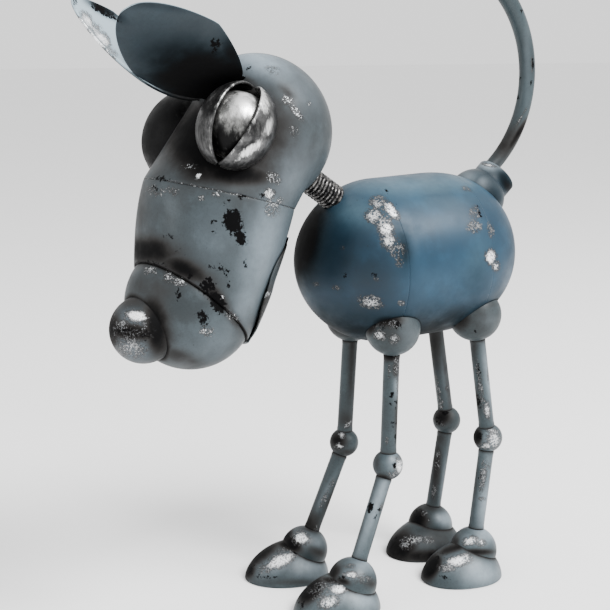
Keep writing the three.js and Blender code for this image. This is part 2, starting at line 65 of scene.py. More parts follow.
# Rings and columns of the meshes.
SHELL_COLUMNS = 300
BODY_ROWS = 120
SKULL_BACK_ROWS = 44
SKULL_AHEAD_ROWS = 46
MUZZLE_ROWS = 60
SNOUT_ROWS = 46
JAW_GRID = (90, 80)
LID_GRID = (60, 90)
EAR_GRID = (90, 110)
PLATE_EDGE_STEPS = 4
FOOT_COLUMNS = 96
FOOT_ROWS = 40
ROD_COLUMNS = 40
ROD_ROWS = 120
TAIL_COLUMNS = 48
TAIL_ROWS = 150
TAIL_TIP_ROWS = 12
CUP_COLUMNS = 96
CUP_SIDE_ROWS = 10
CUP_TOP_ROWS = 24
WIRE_COLUMNS = 20
WIRE_STEPS_A_TURN = 36
BALL_COUNT = 96
FINE_BALL_COUNT = 128

# Angle in degrees at which a dome's last ring stands before its tip, and the step in a plate's
# u and v over which its slope is taken.
NEAR_TIP = 88
SLOPE_STEP = 1e-4

# Body: a straight band between two deep domes, lying along Y and rising to the rear.
BODY_STRAIGHT = 48
FRONT_DEPTH = 70.3
REAR_DEPTH = 75
FRONT_POWER = 1.93
REAR_POWER = 2.28
BODY_CENTRE = (0, 6.1, 280.5)
BODY_TILT = 0.037
FRONT_SEAM = -36
REAR_SEAM = 46
SMALLEST_RING = 0.05

# Weld lines: how fast the groove fades, the rings set close beside it, the heights round the
# body (as sines) between which the front one comes in, and the rear one's share of its depth.
BODY_WELD_FADE = 0.6
BODY_WELD_RINGS = np.array((0.3, 0.8, 1.6))
FRONT_WELD_HEIGHTS = (0.55, -0.1)
REAR_WELD_SHARE = 0.15
HEAD_WELD_FADE = 0.8
HEAD_WELD_RINGS = 6

# Legs, as knee and ankle centres of the left side. A foot's sole is rounded through the points
# (share of its width, height).
FRONT_LEG = {"knee": (34.7, -27.5, 114.4), "ankle": (40, -64.3, 21.4)}
REAR_LEG = {"knee": (30.4, 78.5, 120.1), "ankle": (32.7, 64.4, 20.9)}
FOOT_TOE = 43
FOOT_HEEL = 31.3
FOOT_HALF_WIDTH = 30.6
FOOT_HEIGHT = 31
FOOT_POWER = 1.75
FOOT_SOLE = np.array(((0.955, 0), (0.982, 0.25), (0.995, 0.8)))
FILLET_REACH = 1.6

# Each leg's side, centres, hip, and the foot's offset and turn under the ankle.
LEGS = {
    "front_left": (1, FRONT_LEG, (36.9, -26.1, 229.9), (-1.6, -8), -0.05),
    "front_right": (-1, FRONT_LEG, (31.6, -22.9, 227.4), (-2, -10.5), -0.14),
    "rear_left": (1, REAR_LEG, (34.5, 57.6, 232), (1.1, -8.2), 0),
    "rear_right": (-1, REAR_LEG, (31, 60.5, 230.8), (2.5, -3), 0.04),
}

# Neck spring, from the back of the head to the top of the front dome.
SPRING_RADIUS = 9.5
SPRING_TOP = np.array((0, -78.6, 346.2))
SPRING_FOOT = np.array((0, -62.4, 334.9))
SPRING_REACH = 18
SPRING_OVERRUN = 4

# Head: round sections as centre (forward, up), tilt below forward and radius.
HEAD_TURN = 0.187
BROW = (55.9, 44, 0.382, 58.1)
SEAM = (92.5, -1.9, 1.309, 57.3)
CREASE = (120.7, -81.5, 0.804, 50.6)
SKULL_DEPTH = 55.3
SNOUT_DEPTH = 49.2
SNOUT_RADIUS = 49.1
MUZZLE_BULGE = 0.047
NOSE = (0, -162.6, -95.1)
NOSE_RADIUS = 25

# The skull's share of the groove at its weld, and how its corner at the brow is eased: rings to
# each side, width of the bell, and rings at the back that are left alone.
SKULL_WELD_SHARE = 0.3
BROW_EASE_REACH = 6
BROW_EASE_WIDTH = 3.2
BROW_EASE_KEPT = 3

# Where rings stand, closer together at the welds: shares along the muzzle and degrees along the
# snout.
MUZZLE_STARTS = (0, 0.006, 0.015)
MUZZLE_SPAN = (0.03, 0.97)
MUZZLE_ENDS = (0.985, 0.994, 1)
SNOUT_STARTS = (0, 0.5, 1.2)
SNOUT_SPAN = (2.5, NEAR_TIP)

# Eyes as side, centre (aside, forward, up) and radius. The lids are longer along the eye's axis
# than across it, and their free edges are worn.
EYES = {"left": (1, (40, 106.3, 51.2), 31.2), "right": (-1, (49.5, 89.9, 39.4), 34.5)}
EYE_LONG = 1.075
EYE_WIDE = 0.905
EYE_AXIS = (-0.611, -0.141, 0.779)
EYE_OUTWARD = (0.5, 0.68, 0.53)
LID_OPENING = 30 * DEG
LID_REACH = 118 * DEG
LID_END = 4 * DEG
LID_WEAR = 0.45
LID_WEAR_REACH = 5 * DEG

# Ears as side, root (aside, forward, up), splay, rise and lean.
EARS = {
    "left": (1, (12.6, 98.3, 75.9), 0.537, 0.194, 0.972),
    "right": (-1, (24.7, 101.3, 77.8), -0.024, 0.24, 0.818),
}
EAR_INNER_SHARE = 0.92
EAR_LENGTH = 122.5
EAR_WIDTH = 72.7
EAR_WIDEST = 0.549
EAR_SPREAD = 0.676
EAR_POWER = 1.3
EAR_CUP_RADIUS = 90
EAR_CURL = 0.3
EAR_BURIED = 0.13
EAR_TIP = 0.998
EAR_ROW_POWER = 1.6

# Lower jaw, along the muzzle from the throat to the chin, as shares of the muzzle's length.
JAW_START = 0.2
JAW_END = 0.99
JAW_WRAP = 60 * DEG
JAW_MOUTH = 1.3
JAW_RISE = 0.58
JAW_RISE_RATE = 40
JAW_CLEARANCE = 0.75
JAW_CHIN_EASE = 8
JAW_END_WIDTH = 0.3
JAW_END_POWER = 3

# Tail: an arc in the mid-plane, in a cup on a small dome.
TAIL_CENTRE = np.array((0, 33.8, 427))
TAIL_ARC = 99.1
TAIL_START = -58 * DEG
TAIL_END = 68 * DEG
TAIL_ROOT_RADIUS = 6.2
TAIL_TIP_RADIUS = 7.6
SOCKET = ((0, 81.3, 325.4), 24.4)
CUP_CENTRE = (0, 102.6, 343)
CUP_RADIUS = 17.4
CUP_DOME = 3.9
CUP_BURIED = 12
CUP_RISE = 43 * DEG
CUP_AXIS = np.array((0, math.cos(CUP_RISE), math.sin(CUP_RISE)))
CUP_OVER = np.array((0, -math.sin(CUP_RISE), math.cos(CUP_RISE)))
CUP_TOP_POWER = 0.8
CUP_SIDE_END = -0.5

# Camera, in the dog's own frame.
PHOTO_SIZE = 610
SENSOR = 36
LENS = 75.92
CAMERA_AZIMUTH = 60.42 * DEG
CAMERA_ELEVATION = 11.62 * DEG
CAMERA_TARGET = np.array((0, -86.3, 248.4))
CAMERA_DISTANCE = 1034.5
BACK = np.array(
    (
        math.sin(CAMERA_AZIMUTH) * math.cos(CAMERA_ELEVATION),
        -math.cos(CAMERA_AZIMUTH) * math.cos(CAMERA_ELEVATION),
        math.sin(CAMERA_ELEVATION),
    )
)
RIGHT = np.array((math.cos(CAMERA_AZIMUTH), math.sin(CAMERA_AZIMUTH), 0))
UP = np.cross(BACK, RIGHT)
CAMERA_PLACE = CAMERA_TARGET + CAMERA_DISTANCE * BACK

# Cosines of the angle to the camera between which a mark comes in: on a point that is seen, and
# on one whose mirrored place is seen.
SEEN = (-0.05, 0.2)
MIRRORED = (-0.1, 0.5)

# Shift from the dog's own frame to the frame of the solids, read off one knee ball.
KNEE_LOW, KNEE_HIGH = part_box("knee_front_left")
SHIFT = np.array((KNEE_LOW + KNEE_HIGH) / 2) - np.array(FRONT_LEG["knee"]) * MM


def length_property(name, description, default):
    """A length in metres that the user may set."""
    return bpy.props.FloatProperty(
        name=name, description=description, default=default, unit="LENGTH"
    )


def colour_property(name, description, default):
    """A colour that the user may set."""
    return bpy.props.FloatVectorProperty(
        name=name, description=description, default=default, subtype="COLOR"
    )


def strength_property(name, description, default):
    """A light's strength that the user may set, from zero up."""
    return bpy.props.FloatProperty(name=name, description=description, default=default, min=0)


class DogBodySettings(bpy.types.PropertyGroup):
    """Sizes and colours of the body"""

    radius: length_property("Radius", "Radius of the body's straight band", 0.0673)
    groove: length_property("Groove", "Depth of the line at each weld of the body", 0.0004)
    light: colour_property("Light", "Paint where it is fresh", (0.0090, 0.039, 0.070))
    dark: colour_property("Dark", "Paint where it is shaded", (0.0050, 0.024, 0.045))
    # Pale paint, used also for painted highlights along the body's lit top and the front dome's upper
    # right.
    pale_and_highlight: colour_property("Pale", "Paint that is dusted with light grey", (0.110, 0.190, 0.235))
    # Deep paint: colour of the fine specks, and painted shade over the front dome where less light
    # falls.
    deep_and_shade: colour_property("Deep", "Deepest blue of the airbrushed shade", (0.0015, 0.009, 0.016))
    slate: colour_property("Slate", "Paint of the tail's cup and socket", (0.024, 0.037, 0.047))


class DogHeadSettings(bpy.types.PropertyGroup):
    """Sizes and colours of the head, ears and eyes"""

    groove: length_property("Groove", "Depth of the line at each weld of the head", 0.0005)
    ear_thickness: length_property("Ear thickness", "Thickness of the ear plates", 0.0016)
    jaw_thickness: length_property("Jaw thickness", "Thickness of the lower jaw plate", 0.0012)
    lid_thickness: length_property("Lid thickness", "Thickness of the eyelids", 0.002)
    ball_clearance: length_property(
        "Ball clearance", "How far the eyeball lies inside the lids", 0.0034
    )
    light: colour_property("Light", "Paint where it is fresh", (0.039, 0.053, 0.061))
    dark: colour_property("Dark", "Paint where it is shaded", (0.019, 0.025, 0.028))
    # Pale paint, used also for painted highlights on the top of the skull and the muzzle's lit right
    # side.
    pale_and_highlight: colour_property("Pale", "Paint that is dusted with light grey", (0.20, 0.25, 0.29))
    deep_and_shade: colour_property("Deep", "Deepest shade of the paint", (0.008, 0.010, 0.012))
    ear: colour_property("Ear", "Dark paint of the ears' outer faces", (0.0135, 0.0245, 0.0325))
    ear_inside: colour_property("Ear inside", "Pale paint of the ears' inner faces", (0.30, 0.38, 0.43))


class DogLegSettings(bpy.types.PropertyGroup):
    """Sizes and colours of the legs, tail and neck"""

    rod: length_property("Rod", "Radius of the leg rods", 0.0066)
    hip: length_property("Hip", "Radius of the hip balls", 0.0223)
    knee: length_property("Knee", "Radius of the knee balls", 0.0125)
    ankle: length_property("Ankle", "Radius of the ankle domes", 0.0203)
    fillet: length_property("Fillet", "Height of the weld at each end of a rod", 0.0003)
    wire: length_property("Wire", "Radius of the neck spring's wire", 0.0015)
    pitch: length_property("Pitch", "Distance from turn to turn of the neck spring", 0.0034)
    light: colour_property("Light", "Paint where it is fresh", (0.036, 0.053, 0.060))
    dark: colour_property("Dark", "Paint where it is shaded", (0.019, 0.028, 0.032))
    # Pale paint, used also for painted highlights on the lit right-hand sides of joints and feet.
    pale_and_highlight: colour_property("Pale", "Paint that is dusted with light grey", (0.23, 0.28, 0.315))
    deep_and_shade: colour_property("Deep", "Deepest shade of the paint", (0.008, 0.010, 0.012))


class DogStageSettings(bpy.types.PropertyGroup):
    """Floor and light"""

    floor: colour_property("Floor", "Colour of the floor", (0.93, 0.93, 0.93))
    sky: strength_property("Surround", "Strength of the white surround", 1.4)
    key: strength_property("Key light", "Power of the large light, in watts", 135)
    fill: strength_property("Fill light", "Power of the small light, in watts", 8)


def in_mm(length):
    """A length property, which Blender keeps in metres, in millimetres."""
    return length / MM


def unit(v):
    """Vectors scaled to length one along the last axis."""
    v = np.asarray(v, float)
    return v / np.maximum(np.linalg.norm(v, axis=-1, keepdims=True), TINY)


def circle(count):
    """Even angles once round a circle, the last one left out."""
    return np.arange(count) * 2 * math.pi / count


def smooth(low, high, x):
    """0 below low, 1 above high, and a smooth S curve between."""
    t = np.clip((x - low) / (high - low), 0, 1)
    return t * t * (3 - 2 * t)


def turned(first, second, angle):
    """A pair of coordinates, turned by an angle from the first towards the second."""
    c = math.cos(angle)
    s = math.sin(angle)
    return first * c - second * s, first * s + second * c


# Photograph: where a point of the dog is seen, and marks placed by where they are seen.


def seen_at(points):
    """Pixel of each point: its offset from the camera along right and up, over its depth."""
    away = points - CAMERA_PLACE
    focal = PHOTO_SIZE * LENS / SENSOR / -(away @ BACK)
    return PHOTO_SIZE / 2 + focal * (away @ RIGHT), PHOTO_SIZE / 2 - focal * (away @ UP)


def turned_to_camera(points, normals):
    """Cosine of the angle between each normal and the way to the camera."""
    return np.sum(normals * unit(CAMERA_PLACE - points), axis=-1)


def marks_seen(points, table, power):
    """Largest of the marks at each point.

    A mark is (x, y, half width, half height, turn in degrees, strength) in pixels, and falls off
    as exp(-r^power) with r = 1 on its ellipse.
    """
    x, y = seen_at(points)
    total = np.zeros(len(points))
    for mx, my, half_width, half_height, turn, strength in table:
        across, over = turned(x - mx, y - my, -turn * DEG)
        square = (across / half_width) ** 2 + (over / half_height) ** 2
        total = np.maximum(total, strength * np.exp(-(square ** (power / 2))))
    return total


def marks_on(points, normals, table, plane, power):
    """Marks where a point is seen, and elsewhere the same marks mirrored through the piece's plane."""
    place, across = plane
    other = points - 2 * ((points - place) @ across)[:, None] * across
    turned = normals - 2 * (normals @ across)[:, None] * across
    seen = smooth(*SEEN, turned_to_camera(points, normals))
    unseen = (1 - seen) * smooth(*MIRRORED, turned_to_camera(other, turned))
    own = marks_seen(points, table, power) * seen
    return np.maximum(own, marks_seen(other, table, power) * unseen)


# Kinds of marks, with the power of their fall-off: chips end sharply, and airbrushed paint,
# painted shade and painted highlights softly.
MARK_POWERS = {"wear_and_highlight": 3, "flake": 3, "soot_and_shade": 2, "pale_and_highlight": 2, "deep_and_shade": 2}

# Meshes: every piece is a closed skin through rings of points.


def add_piece(node, rings, material, first=None, last=None, sharp_ends=True):
    """A closed skin for a CAD node, through rings of equal count with a fan to a point at each end.

    rings is rows x columns x 3. Face indices are worked out for the whole grid at once, and the
    skin is turned right side out by the sign of its volume.
    """
    rings = np.asarray(rings, float)
    rows, columns = rings.shape[:2]
    first = rings[0].mean(0) if first is None else np.asarray(first, float)
    last = rings[-1].mean(0) if last is None else np.asarray(last, float)
    points = np.vstack([rings.reshape(-1, 3), first, last])
    index = np.arange(rows * columns).reshape(rows, columns)
    beside = np.roll(index, -1, axis=1)
    quads = np.stack([index[:-1], beside[:-1], beside[1:], index[1:]], axis=-1).reshape(-1, 4)
    low = np.stack([np.full(columns, rows * columns), beside[0], index[0]], axis=-1)
    high = np.stack([np.full(columns, rows * columns + 1), index[-1], beside[-1]], axis=-1)
    corners = points[quads]
    volume = np.sum(np.cross(corners[:, 0], corners[:, 1]) * corners[:, 2])
    volume += np.sum(np.cross(corners[:, 0], corners[:, 2]) * corners[:, 3])
    for fan in (low, high):
        volume += np.sum(np.cross(points[fan[:, 0]], points[fan[:, 1]]) * points[fan[:, 2]])
    faces = [quads, low, high]
    if volume < 0:
        faces = [f[:, ::-1] for f in faces]
    loops = np.concatenate([f.ravel() for f in faces])
    sizes = np.concatenate([np.full(len(f), f.shape[1]) for f in faces])
    starts = np.concatenate([[0], np.cumsum(sizes)[:-1]])
    mesh = bpy.data.meshes.new(node + "_surface")
    mesh.vertices.add(len(points))
    mesh.vertices.foreach_set("co", (points * MM + SHIFT).ravel())
    mesh.loops.add(len(loops))
    mesh.loops.foreach_set("vertex_index", loops.astype(np.int32))
    mesh.polygons.add(len(sizes))
    mesh.polygons.foreach_set("loop_start", starts.astype(np.int32))
    smooth_faces = np.ones(len(sizes), bool)
    if sharp_ends:
        smooth_faces[len(quads):] = False
    mesh.polygons.foreach_set("use_smooth", smooth_faces)
    mesh.update(calc_edges=True)
    mesh.validate()
    mesh.materials.append(material)
    piece = bpy.data.objects.new(node + "_surface", mesh)
    bpy.context.scene.collection.objects.link(piece)
    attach(piece, "root")
    return piece


def points_of(piece):
    """A piece's vertices in millimetres of the dog's own frame, and their normals."""
    mesh = piece.data
    flat = np.zeros(len(mesh.vertices) * 3)
    mesh.vertices.foreach_get("co", flat)
    points = (flat.reshape(-1, 3) - SHIFT) / MM
    mesh.vertex_normals.foreach_get("vector", flat)
    return points, flat.reshape(-1, 3)


def finish_piece(piece, node, plane, table, shades=None):
    """Stores each kind of mark that the materials read, and lets the piece stand for its CAD node.

    table gives the marks of each kind, and shades may give a function of points and normals.
    """
    points, normals = points_of(piece)
    for layer, power in MARK_POWERS.items():
        values = marks_on(points, normals, table[layer], plane, power)
        if shades and layer in shades:
            values = np.maximum(values, shades[layer](points, normals))
        attribute = piece.data.attributes.new(layer, "FLOAT", "POINT")
        attribute.data.foreach_set("value", values.astype(np.float32))
    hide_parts(node)


def add_ball(node, centre, radius, material, count):
    """A ball with its poles up and down.

    A ring is (cos, sin) of the angle round times the sine of the angle down, at the height of
    that angle's cosine, all times the radius.
    """
    down = np.arange(1, count // 2) * math.pi / (count // 2)
    around = circle(count)
    rings = np.zeros((len(down), count, 3))
    rings[..., :2] = np.sin(down)[:, None, None] * np.stack([np.cos(around), np.sin(around)], axis=-1)
    rings[..., 2] = np.cos(down)[:, None]
    rings = np.asarray(centre) + radius * rings
    pole = np.array((0, 0, radius))
    return add_piece(node, rings, material, centre + pole, centre - pole, sharp_ends=False)


def tube_rings(path, radii, columns):
    """Rings square to a path: each point plus its radius times (cos, sin) along two directions
    across the path, the first of which keeps as near to X as it can."""
    path = np.asarray(path, float)
    along = unit(np.gradient(path, axis=0))
    first = np.broadcast_to(np.array((1.0, 0, 0)), along.shape)
    first = unit(first - np.sum(first * along, axis=-1, keepdims=True) * along)
    second = np.cross(along, first)
    angle = circle(columns)[None, :, None]
    round_path = np.cos(angle) * first[:, None] + np.sin(angle) * second[:, None]
    return path[:, None] + np.asarray(radii)[:, None, None] * round_path


def plate_rings(surface, columns, rows, thickness):
    """A plate of even thickness with half-round edges, as one loop of points for each row.

    surface(u, v) gives the middle of the plate. Each loop runs over the outer face, round one
    edge, back over the inner face and round the other edge.
    """
    u, v = np.meshgrid(np.linspace(0, 1, columns), np.linspace(0, 1, rows))
    middle = surface(u, v)
    along_u = surface(u + SLOPE_STEP, v) - surface(u - SLOPE_STEP, v)
    along_v = surface(u, v + SLOPE_STEP) - surface(u, v - SLOPE_STEP)
    outward = unit(np.cross(along_u, along_v))
    half = thickness / 2
    turn = (np.arange(1, PLATE_EDGE_STEPS) * math.pi / PLATE_EDGE_STEPS)[None, :, None]
    edges = []
    for column, sign in ((-1, 1), (0, -1)):
        out = sign * unit(along_u[:, column])[:, None]
        normal = sign * outward[:, column][:, None]
        edges.append(middle[:, column][:, None] + half * (np.cos(turn) * normal + np.sin(turn) * out))
    outer = middle + half * outward
    inner = (middle - half * outward)[:, ::-1]
    return np.concatenate([outer, edges[0], inner, edges[1]], axis=1)


# Body.


def body_radius(along, radius):
    """Super-ellipse domes at both ends of a straight band."""
    front = along < 0
    depth = np.where(front, FRONT_DEPTH, REAR_DEPTH)
    power = np.where(front, FRONT_POWER, REAR_POWER)
    beyond = np.maximum(0, np.abs(along) - BODY_STRAIGHT / 2) / depth
    return radius * np.maximum(0, 1 - beyond**power) ** (1 / power)


def on_body(along, radius, angle):
    """Points round the body's axis, which is turned by the body's tilt about X."""
    x = radius * np.cos(angle)
    y, z = turned(np.broadcast_to(along, x.shape), radius * np.sin(angle), BODY_TILT)
    return np.stack([x, y, z], axis=-1) + np.array(BODY_CENTRE)


def body_shell(first, last, first_tip, last_tip, radius, groove):
    """Rings of one shell: even steps in the band, and steps that shorten towards a dome's tip.

    At each weld the radius dips by the groove's depth times exp(-distance/fade). The front weld
    is ground flush over the back, and the rear one nearly so all round.
    """
    angle = circle(SHELL_COLUMNS)[None, :]
    depth = {
        FRONT_SEAM: groove * smooth(*FRONT_WELD_HEIGHTS, np.sin(angle)),
        REAR_SEAM: np.full_like(angle, REAR_WELD_SHARE * groove),
    }
    t = np.linspace(0, 1, BODY_ROWS)
    if first_tip:
        along = last - (last - first) * np.sin((1 - t) * math.pi / 2)
    elif last_tip:
        along = first + (last - first) * np.sin(t * math.pi / 2)
    else:
        along = first + (last - first) * t
    if not first_tip:
        along = np.sort(np.append(along, first + BODY_WELD_RINGS))
    if not last_tip:
        along = np.sort(np.append(along, last - BODY_WELD_RINGS))
    size = body_radius(along, radius)
    kept = size > SMALLEST_RING
    along = along[kept][:, None]
    size = size[kept][:, None]
    if not first_tip:
        size = size - depth[first] * np.exp(-(along - first) / BODY_WELD_FADE)
    if not last_tip:
        size = size - depth[last] * np.exp(-(last - along) / BODY_WELD_FADE)
    return on_body(along, size, angle)


# Head.


def head_turn(points):
    """Points of the head's frame (aside, back, up) turned about Z."""
    x, y = turned(points[..., 0], points[..., 1], HEAD_TURN)
    return np.stack([x, y, points[..., 2]], axis=-1)


def head_frame(points):
    """Points of the head's frame, turned and moved to the spring's top."""
    return head_turn(points) + SPRING_TOP


def head_place(side, place):
    """A place (aside, forward, up) of the head's left side, mirrored where side is -1."""
    aside, forward, up = place
    return np.array((side * aside, -forward, up))


def head_axis(forward, aside, up, side):
    """A direction of the head's left side, mirrored where side is -1."""
    return unit((side * aside, -forward, up))


def on_section(section, angle, share=1, along=0):
    """A point of a round section: the angle runs from the dog's left side over the top."""
    forward, up, tilt, radius = section
    size = radius * share
    over = size * np.sin(angle)
    at_forward = forward + along * math.cos(tilt) + over * math.sin(tilt)
    at_up = up - along * math.sin(tilt) + over * math.cos(tilt)
    shape = np.broadcast(size, angle, at_forward).shape
    parts = (size * np.cos(angle), -at_forward, at_up)
    return np.stack([np.broadcast_to(p, shape) for p in parts], axis=-1)


def section_centre(section, along=0):
    """The centre of a section, moved along its own axis."""
    forward, up, tilt, _ = section
    return np.array((0, -(forward + along * math.cos(tilt)), up - along * math.sin(tilt)))


def on_muzzle(t, angle, extra=0):
    """Straight from the seam's section to the crease's, bulged midway by 4t(1-t) of a small share."""
    t = np.asarray(t, float)[..., None]
    middle = section_centre(SEAM) * (1 - t) + section_centre(CREASE) * t
    point = on_section(SEAM, angle) * (1 - t) + on_section(CREASE, angle) * t - middle
    length = np.linalg.norm(point, axis=-1, keepdims=True)
    swell = length * MUZZLE_BULGE * 4 * t * (1 - t)
    extra = np.asarray(extra, float)
    extra = extra[..., None] if extra.ndim else extra
    return middle + point * (length + swell + extra) / length


def skull_rings(groove):
    """An ellipsoid behind the brow, then straight on to the seam, with the corner eased by a
    bell-shaped average over neighbouring rings: weights exp(-(rings away/width)^2)."""
    angle = circle(SHELL_COLUMNS)[None, :]
    turn = np.linspace(NEAR_TIP, 0, SKULL_BACK_ROWS, endpoint=False)[:, None] * DEG
    back = on_section(BROW, angle, share=np.cos(turn), along=-SKULL_DEPTH * np.sin(turn))
    t = np.linspace(0, 1, SKULL_AHEAD_ROWS)[:, None, None]
    ahead = on_section(BROW, angle) * (1 - t) + on_section(SEAM, angle) * t
    rings = np.concatenate([back, ahead])
    reach = BROW_EASE_REACH
    weights = np.exp(-((np.arange(-reach, reach + 1) / BROW_EASE_WIDTH) ** 2))
    weights /= weights.sum()
    lead = 2 * rings[0] - rings[1:reach + 1][::-1]
    tail = 2 * rings[-1] - rings[-reach - 1:-1][::-1]
    padded = np.concatenate([lead, rings, tail])
    eased = sum(w * padded[i:i + len(rings)] for i, w in enumerate(weights))
    eased[:BROW_EASE_KEPT] = rings[:BROW_EASE_KEPT]
    return rim_groove(eased, section_centre(SEAM), groove, at_start=False)


def rim_groove(rings, centre, groove, at_start):
    """Draws the last few rings at a weld in towards the section's centre, by the groove's depth
    times exp(-distance/fade)."""
    order = np.arange(len(rings)) if at_start else np.arange(len(rings))[::-1]
    spread = np.linalg.norm(rings - rings[0 if at_start else -1], axis=-1).mean(-1)
    pull = groove * np.exp(-spread / HEAD_WELD_FADE)
    pull[order > HEAD_WELD_RINGS] = 0
    inward = unit(centre - rings)
    return rings + inward * pull[:, None, None]


def muzzle_rings(groove):
    """The muzzle from seam to crease, with closer rings at both welds."""
    t = np.concatenate([MUZZLE_STARTS, np.linspace(*MUZZLE_SPAN, MUZZLE_ROWS), MUZZLE_ENDS])
    t = np.broadcast_to(t[:, None], (len(t), SHELL_COLUMNS))
    rings = on_muzzle(t, circle(SHELL_COLUMNS)[None, :])
    rings = rim_groove(rings, section_centre(SEAM), groove, at_start=True)
    return rim_groove(rings, section_centre(CREASE), groove, at_start=False)


def snout_rings(groove):
    """Half an ellipsoid ahead of the crease, with closer rings at the weld."""
    turn = np.concatenate([SNOUT_STARTS, np.linspace(*SNOUT_SPAN, SNOUT_ROWS)])[:, None] * DEG
    size = SNOUT_RADIUS / CREASE[3] * np.cos(turn)
    angle = circle(SHELL_COLUMNS)[None, :]
    rings = on_section(CREASE, angle, share=size, along=SNOUT_DEPTH * np.sin(turn))
    return rim_groove(rings, section_centre(CREASE), groove, at_start=True)


def jaw_middle(thickness):
    """The middle of the jaw plate as a function of u, right to left, and v, throat to chin.

    It wraps round under the muzzle, narrows to a rounded end at throat and chin, and stands off
    along an S curve towards the chin, where it closes in again.
    """

    def surface(u, v):
        wrap = JAW_WRAP * np.sqrt(np.maximum(JAW_END_WIDTH, 1 - np.abs(2 * v - 1) ** JAW_END_POWER))
        angle = -90 * DEG + (2 * u - 1) * wrap
        t = JAW_START + (JAW_END - JAW_START) * v
        closing = np.minimum(1, JAW_CHIN_EASE * (1 - v))
        stand_off = JAW_MOUTH * closing / (1 + np.exp((JAW_RISE - t) * JAW_RISE_RATE))
        return on_muzzle(t, angle, JAW_CLEARANCE + thickness / 2 + stand_off)

    return surface


def eye_axes(side):
    """An eye's ways from pole to pole, out between its lids, and across both."""
    axis = head_axis(*EYE_AXIS, side)
    outward = head_axis(*EYE_OUTWARD, side)
    outward = unit(outward - (outward @ axis) * axis)
    return axis, outward, np.cross(axis, outward)


def lid_middle(side, radius, thickness, handed):
    """One eyelid: part of an egg between two half ellipses that meet at the eye's poles."""
    axis, outward, across = eye_axes(side)
    long = radius * EYE_LONG - thickness / 2
    wide = radius * EYE_WIDE - thickness / 2

    def surface(u, v):
        pole = LID_END + v * (180 * DEG - 2 * LID_END)
        share = u if handed > 0 else 1 - u
        turn = (handed * (LID_OPENING + share * (LID_REACH - LID_OPENING)))[..., None]
        flat = np.cos(turn) * outward + np.sin(turn) * across
        return -long * np.cos(pole)[..., None] * axis + wide * np.sin(pole)[..., None] * flat

    return surface


def ear_half_width(share):
    """Half an ear's width along its length, as the root of one minus a power of the distance
    from the widest place."""
    share = np.clip(share, 0, 1)
    tip = (share - EAR_WIDEST) / (1 - EAR_WIDEST)
    root = (EAR_WIDEST - share) / EAR_SPREAD
    away = np.where(share > EAR_WIDEST, tip, root)
    return EAR_WIDTH / 2 * np.sqrt(np.maximum(0, 1 - np.maximum(away, 0) ** EAR_POWER))


def ear_axes(side, splay, rise, lean):
    """Ways along an ear, across it and to its hollow side."""
    flat = math.cos(rise)
    along = head_axis(flat * math.cos(splay), flat * math.sin(splay), math.sin(rise), side)
    aside = np.array((side, 0, 0), float)
    aside = unit(aside - (aside @ along) * along)
    over = np.cross(along, aside)
    over = over if over[2] > 0 else -over
    across = over * math.cos(lean) + aside * math.sin(lean)
    return along, across, over * math.sin(lean) - aside * math.cos(lean)


def ear_middle(side, axes):
    """An ear's sheet: v runs from the part sunk in the skull to the tip, u across it.

    It is cupped round a cylinder along its length, and curls to the hollow side with the square
    of the distance from the root.
    """
    along, across, inward = axes

    def surface(u, v):
        reach = 1 - (1 - np.minimum(v, 1)) ** EAR_ROW_POWER
        share = -EAR_BURIED + (EAR_TIP + EAR_BURIED) * reach + np.maximum(0, v - 1)
        outer = side * (1 - 2 * u)
        width = ear_half_width(np.minimum(share, EAR_TIP)) * np.where(outer < 0, EAR_INNER_SHARE, 1)
        bow = outer * width / EAR_CUP_RADIUS
        cup = EAR_CUP_RADIUS * (1 - np.cos(bow))
        curl = EAR_CURL * EAR_LENGTH * np.maximum(0, share) ** 2
        point = share[..., None] * EAR_LENGTH * along
        point = point + (EAR_CUP_RADIUS * np.sin(bow))[..., None] * across
        return point + (cup + curl)[..., None] * inward

    return surface


# Legs and feet.


def foot_rings():
    """A super-ellipse turned round Z, drawn out to toe and heel, with a small round at the sole."""
    angle = np.linspace(0, 89, FOOT_ROWS) * DEG
    across = np.cos(angle) ** (2 / FOOT_POWER)
    up = FOOT_HEIGHT * np.sin(angle) ** (2 / FOOT_POWER)
    across = np.concatenate([FOOT_SOLE[:, 0], across[1:]])
    up = np.concatenate([FOOT_SOLE[:, 1], up[1:]])
    order = np.argsort(up, kind="stable")
    across = across[order][:, None]
    up = up[order][:, None]
    around = circle(FOOT_COLUMNS)[None, :]
    x = FOOT_HALF_WIDTH * across * np.cos(around)
    reach = np.where(np.sin(around) < 0, FOOT_TOE, FOOT_HEEL)
    return np.stack([x, reach * across * np.sin(around), np.broadcast_to(up, x.shape)], axis=-1)


def rod_rings(start, end, radius, stops, fillet):
    """A straight rod whose radius swells by the fillet times exp(-(distance/reach)^2) at the balls
    that it is welded to. stops are the distances of their surfaces from both ends."""
    start = np.asarray(start, float)
    end = np.asarray(end, float)
    length = np.linalg.norm(end - start)
    t = np.linspace(0, 1, ROD_ROWS)
    along = t * length
    swell = np.exp(-(((along - stops[0]) / FILLET_REACH) ** 2))
    swell += np.exp(-(((length - along - stops[1]) / FILLET_REACH) ** 2))
    path = start + t[:, None] * (end - start)
    return tube_rings(path, radius + fillet * swell, ROD_COLUMNS)


# Tail.


def on_tail(angle):
    """A point of the tail's arc in the mid-plane."""
    angle = np.asarray(angle, float)
    flat = np.stack([np.zeros_like(angle), np.cos(angle), np.sin(angle)], axis=-1)
    return TAIL_CENTRE + TAIL_ARC * flat


